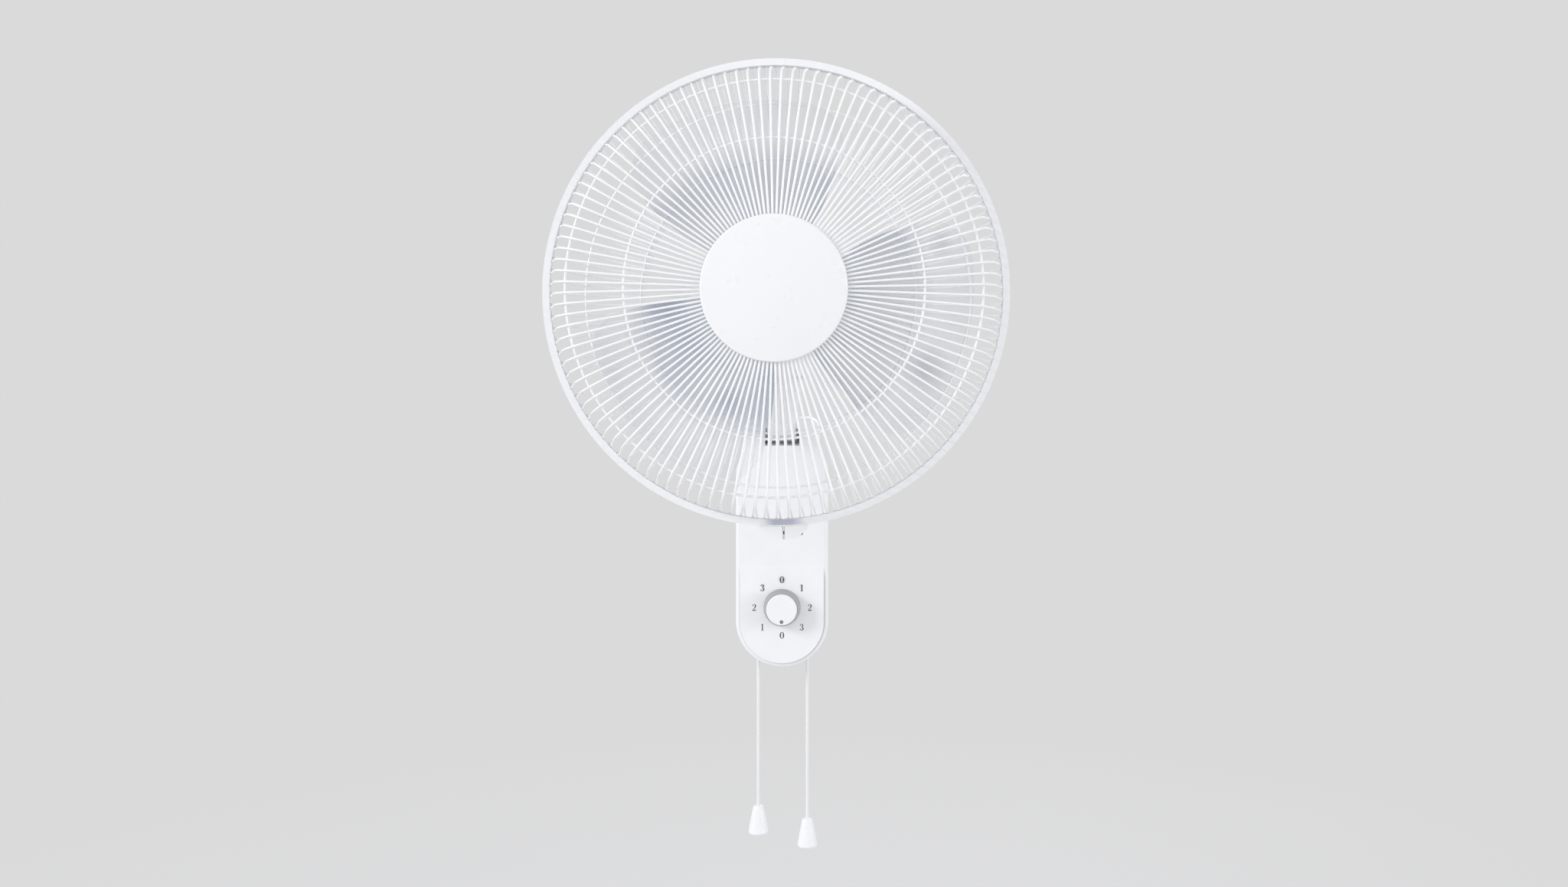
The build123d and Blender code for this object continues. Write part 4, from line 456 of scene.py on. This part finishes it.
pull_cord("speed_pull_cord", "speed_cord", -CORD_SIDE, SPEED_CORD_FOOT,
          "speed_pull")
pull_cord("oscillation_pull_cord", "oscillation_cord", CORD_SIDE, OSCILLATION_CORD_FOOT,
          "oscillation_pull")

# ---------------------------------------------------------------- dial figures
DIAL_STEPS = "01230123"         # clockwise from the top
DIAL_RADIUS = 0.030
FIGURE_HALF = 0.0036            # half a figure's height
INK_SPREAD = 1.25               # the strokes are this much wider than FIGURES has them
INK = 0.00004                   # the ink reaches this far out of and into the panel
# Strokes on a grid whose height runs from -1 to 1: side, height and half width along each.
FIGURES = {
    "0": [[(0.475 * math.cos(math.radians(turn)), 0.95 * math.sin(math.radians(turn)),
            0.05 + 0.11 * math.cos(math.radians(turn)) ** 2) for turn in range(0, 361, 15)]],
    "1": [
        [(0.04, -0.95, 0.13), (0.04, 0.0, 0.13), (0.04, 0.97, 0.13)],
        [(-0.34, -0.95, 0.045), (0.04, -0.94, 0.06), (0.42, -0.95, 0.045)],
        [(-0.32, 0.66, 0.03), (-0.12, 0.78, 0.05), (0.06, 0.92, 0.07)],
    ],
    "2": [
        [(-0.46, 0.5, 0.1), (-0.4, 0.56, 0.13), (-0.32, 0.62, 0.1), (-0.3, 0.8, 0.05),
         (-0.05, 0.95, 0.045), (0.26, 0.84, 0.1), (0.4, 0.5, 0.15), (0.28, 0.1, 0.12),
         (-0.05, -0.35, 0.07), (-0.46, -0.84, 0.05)],
        [(-0.5, -0.86, 0.1), (0.0, -0.86, 0.13), (0.46, -0.86, 0.11)],
        [(0.44, -0.88, 0.05), (0.52, -0.72, 0.045), (0.57, -0.5, 0.03)],
    ],
    "3": [
        [(-0.46, 0.56, 0.09), (-0.39, 0.62, 0.12), (-0.31, 0.68, 0.09), (-0.24, 0.86, 0.05),
         (0.0, 0.95, 0.045), (0.26, 0.82, 0.1), (0.33, 0.52, 0.13), (0.16, 0.2, 0.07),
         (-0.12, 0.08, 0.04)],
        [(-0.12, 0.08, 0.04), (0.16, 0.04, 0.05), (0.4, -0.2, 0.13), (0.42, -0.5, 0.15),
         (0.22, -0.85, 0.1), (-0.06, -0.95, 0.045), (-0.34, -0.86, 0.05),
         (-0.4, -0.66, 0.1), (-0.46, -0.58, 0.12), (-0.52, -0.52, 0.09)],
    ],
}


def smooth(points, steps=6):
    """Points along a smooth line through the given ones, a Catmull-Rom spline."""
    ends = [points[0], *points, points[-1]]
    line = []
    for a, b, c, d in zip(ends, ends[1:], ends[2:], ends[3:]):
        for step in range(steps):
            t = step / steps
            line.append([
                0.5 * (2 * q + (r - p) * t + (2 * p - 5 * q + 4 * r - s) * t ** 2
                       + (3 * q - p - 3 * r + s) * t ** 3)
                for p, q, r, s in zip(a, b, c, d)
            ])
    line.append(points[-1])
    return line


def ink_stroke(mesh, points, side, height):
    """Thin printed stroke on the panel, in line with the points and as wide as they say."""
    line = smooth(points)
    rows = []
    for index, (x, z, half) in enumerate(line):
        before, after = line[max(index - 1, 0)], line[min(index + 1, len(line) - 1)]
        along = Vector((after[0] - before[0], after[1] - before[1])).normalized()
        row = []
        for hand in (-1, 1):
            spot = Vector((x, z)) + Vector((-along.y, along.x)) * half * INK_SPREAD * hand
            for out in (PANEL_OUT + INK, PANEL_OUT - INK):
                row.append(mesh.verts.new((side + spot.x * FIGURE_HALF, out,
                                           height + spot.y * FIGURE_HALF)))
        rows.append(row)
    around = (0, 1, 3, 2)       # a row's corners in turn
    for first, second in zip(rows, rows[1:]):
        for a, b in zip(around, (*around[1:], around[0])):
            mesh.faces.new((first[a], first[b], second[b], second[a]))
    for row in (rows[0], rows[-1]):
        mesh.faces.new([row[corner] for corner in around])


figures = bmesh.new()
for step, figure in enumerate(DIAL_STEPS):
    turn = math.radians(90 - 360 / len(DIAL_STEPS) * step)
    for stroke in FIGURES[figure]:
        ink_stroke(figures, stroke, DIAL_RADIUS * math.cos(turn),
                   DIAL_Z + DIAL_RADIUS * math.sin(turn))
bmesh.ops.recalc_face_normals(figures, faces=figures.faces)
figure_mesh = bpy.data.meshes.new("dial_figures")
figures.to_mesh(figure_mesh)
figures.free()
dial_figures = bpy.data.objects.new("dial_figures", figure_mesh)
bpy.context.scene.collection.objects.link(dial_figures)
ink = Look("dial_ink")
ink.colour(ink.mix(ink.noise(900.0), (0.05, 0.05, 0.06, 1), (0.08, 0.08, 0.09, 1)))
ink.roughness(ink.spread(ink.noise(500.0), 0.45, 0.6))
figure_mesh.materials.append(ink.material)
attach(dial_figures, "base")

# ---------------------------------------------------------------- the set
BACKGROUND = (0.7, 0.7, 0.705)
SKY = (0.97, 0.98, 1.0)
SKY_STRENGTH = 0.72
FLOOR_Z = -0.62
FLOOR_RADIUS = 8
FLOOR_FADE = (0.3, 1.6)         # the floor passes into the background between these radii
LAMP_AIM = Vector((0, -0.15, 0.1))  # the fan's middle


def plain_background(tree, shader_output, share=None):
    """Shows the plain background colour to the camera and to gloss and glass.

    With a share, which is for a surface, only that much of it is shown.
    """
    path = tree.nodes.new("ShaderNodeLightPath").outputs
    seen = tree.nodes.new("ShaderNodeMath")
    seen.operation = "ADD"
    seen.use_clamp = True
    also = tree.nodes.new("ShaderNodeMath")
    also.operation = "ADD"
    tree.links.new(path["Is Camera Ray"], seen.inputs[0])
    tree.links.new(path["Is Glossy Ray"], also.inputs[0])
    tree.links.new(path["Is Transmission Ray"], also.inputs[1])
    tree.links.new(also.outputs[0], seen.inputs[1])
    mixed = tree.nodes.new("ShaderNodeMixShader")
    plain = tree.nodes.new("ShaderNodeEmission" if share else "ShaderNodeBackground")
    plain.inputs[0].default_value = (*BACKGROUND, 1)
    if share:
        faded = tree.nodes.new("ShaderNodeMath")
        faded.operation = "MULTIPLY"
        tree.links.new(seen.outputs[0], faded.inputs[0])
        tree.links.new(share, faded.inputs[1])
        tree.links.new(faded.outputs[0], mixed.inputs[0])
    else:
        tree.links.new(seen.outputs[0], mixed.inputs[0])
    tree.links.new(shader_output, mixed.inputs[1])
    tree.links.new(plain.outputs[0], mixed.inputs[2])
    return mixed.outputs[0]


world = bpy.data.worlds.new("studio")
bpy.context.scene.world = world
world.use_nodes = True
air = world.node_tree
sky = air.nodes["Background"]
sky.inputs[0].default_value = (*SKY, 1)
sky.inputs[1].default_value = SKY_STRENGTH
air.links.new(plain_background(air, sky.outputs[0]), air.nodes["World Output"].inputs[0])

bpy.ops.mesh.primitive_circle_add(vertices=96, radius=FLOOR_RADIUS, fill_type="NGON",
                                  location=(0, 0, FLOOR_Z))
floor = bpy.context.object
floor.name = "floor"
floor_look = Look("floor", Specular_IOR_Level=0.2)
floor_look.colour(floor_look.mix(floor_look.noise(3.0, 2.0), (0.75, 0.75, 0.755, 1),
                                 (0.77, 0.77, 0.775, 1)))
floor_look.roughness(floor_look.spread(floor_look.noise(40.0), 0.6, 0.75))
away = floor_look.add("ShaderNodeVectorMath", Vector=floor_look.place)
away.operation = "LENGTH"
fade = floor_look.spread(away.outputs["Value"], 0.35, 1, *FLOOR_FADE)
floor_tree = floor_look.tree
floor_tree.links.new(plain_background(floor_tree, floor_look.shader.outputs[0], fade),
                     floor_tree.nodes["Material Output"].inputs[0])
floor.data.materials.append(floor_look.material)


def softbox(name, place, size, power):
    """Square white lamp that faces the fan's middle."""
    lamp = bpy.data.lights.new(name, "AREA")
    lamp.shape = "SQUARE"
    lamp.size = size
    lamp.energy = power
    stand = bpy.data.objects.new(name, lamp)
    stand.location = place
    ahead = LAMP_AIM - Vector(place)
    stand.rotation_euler = ahead.to_track_quat("-Z", "Y").to_euler()
    bpy.context.scene.collection.objects.link(stand)


softbox("key", (-5.5, -3.6, 2.6), 2.2, 200)
softbox("front", (0.7, -7.5, 1.3), 5.0, 14)
softbox("fill", (5.5, -2.5, 0.8), 3.0, 88)
softbox("rear", (0.8, 2.4, 1.2), 1.8, 13)

bpy.context.scene.view_settings.view_transform = "Standard"
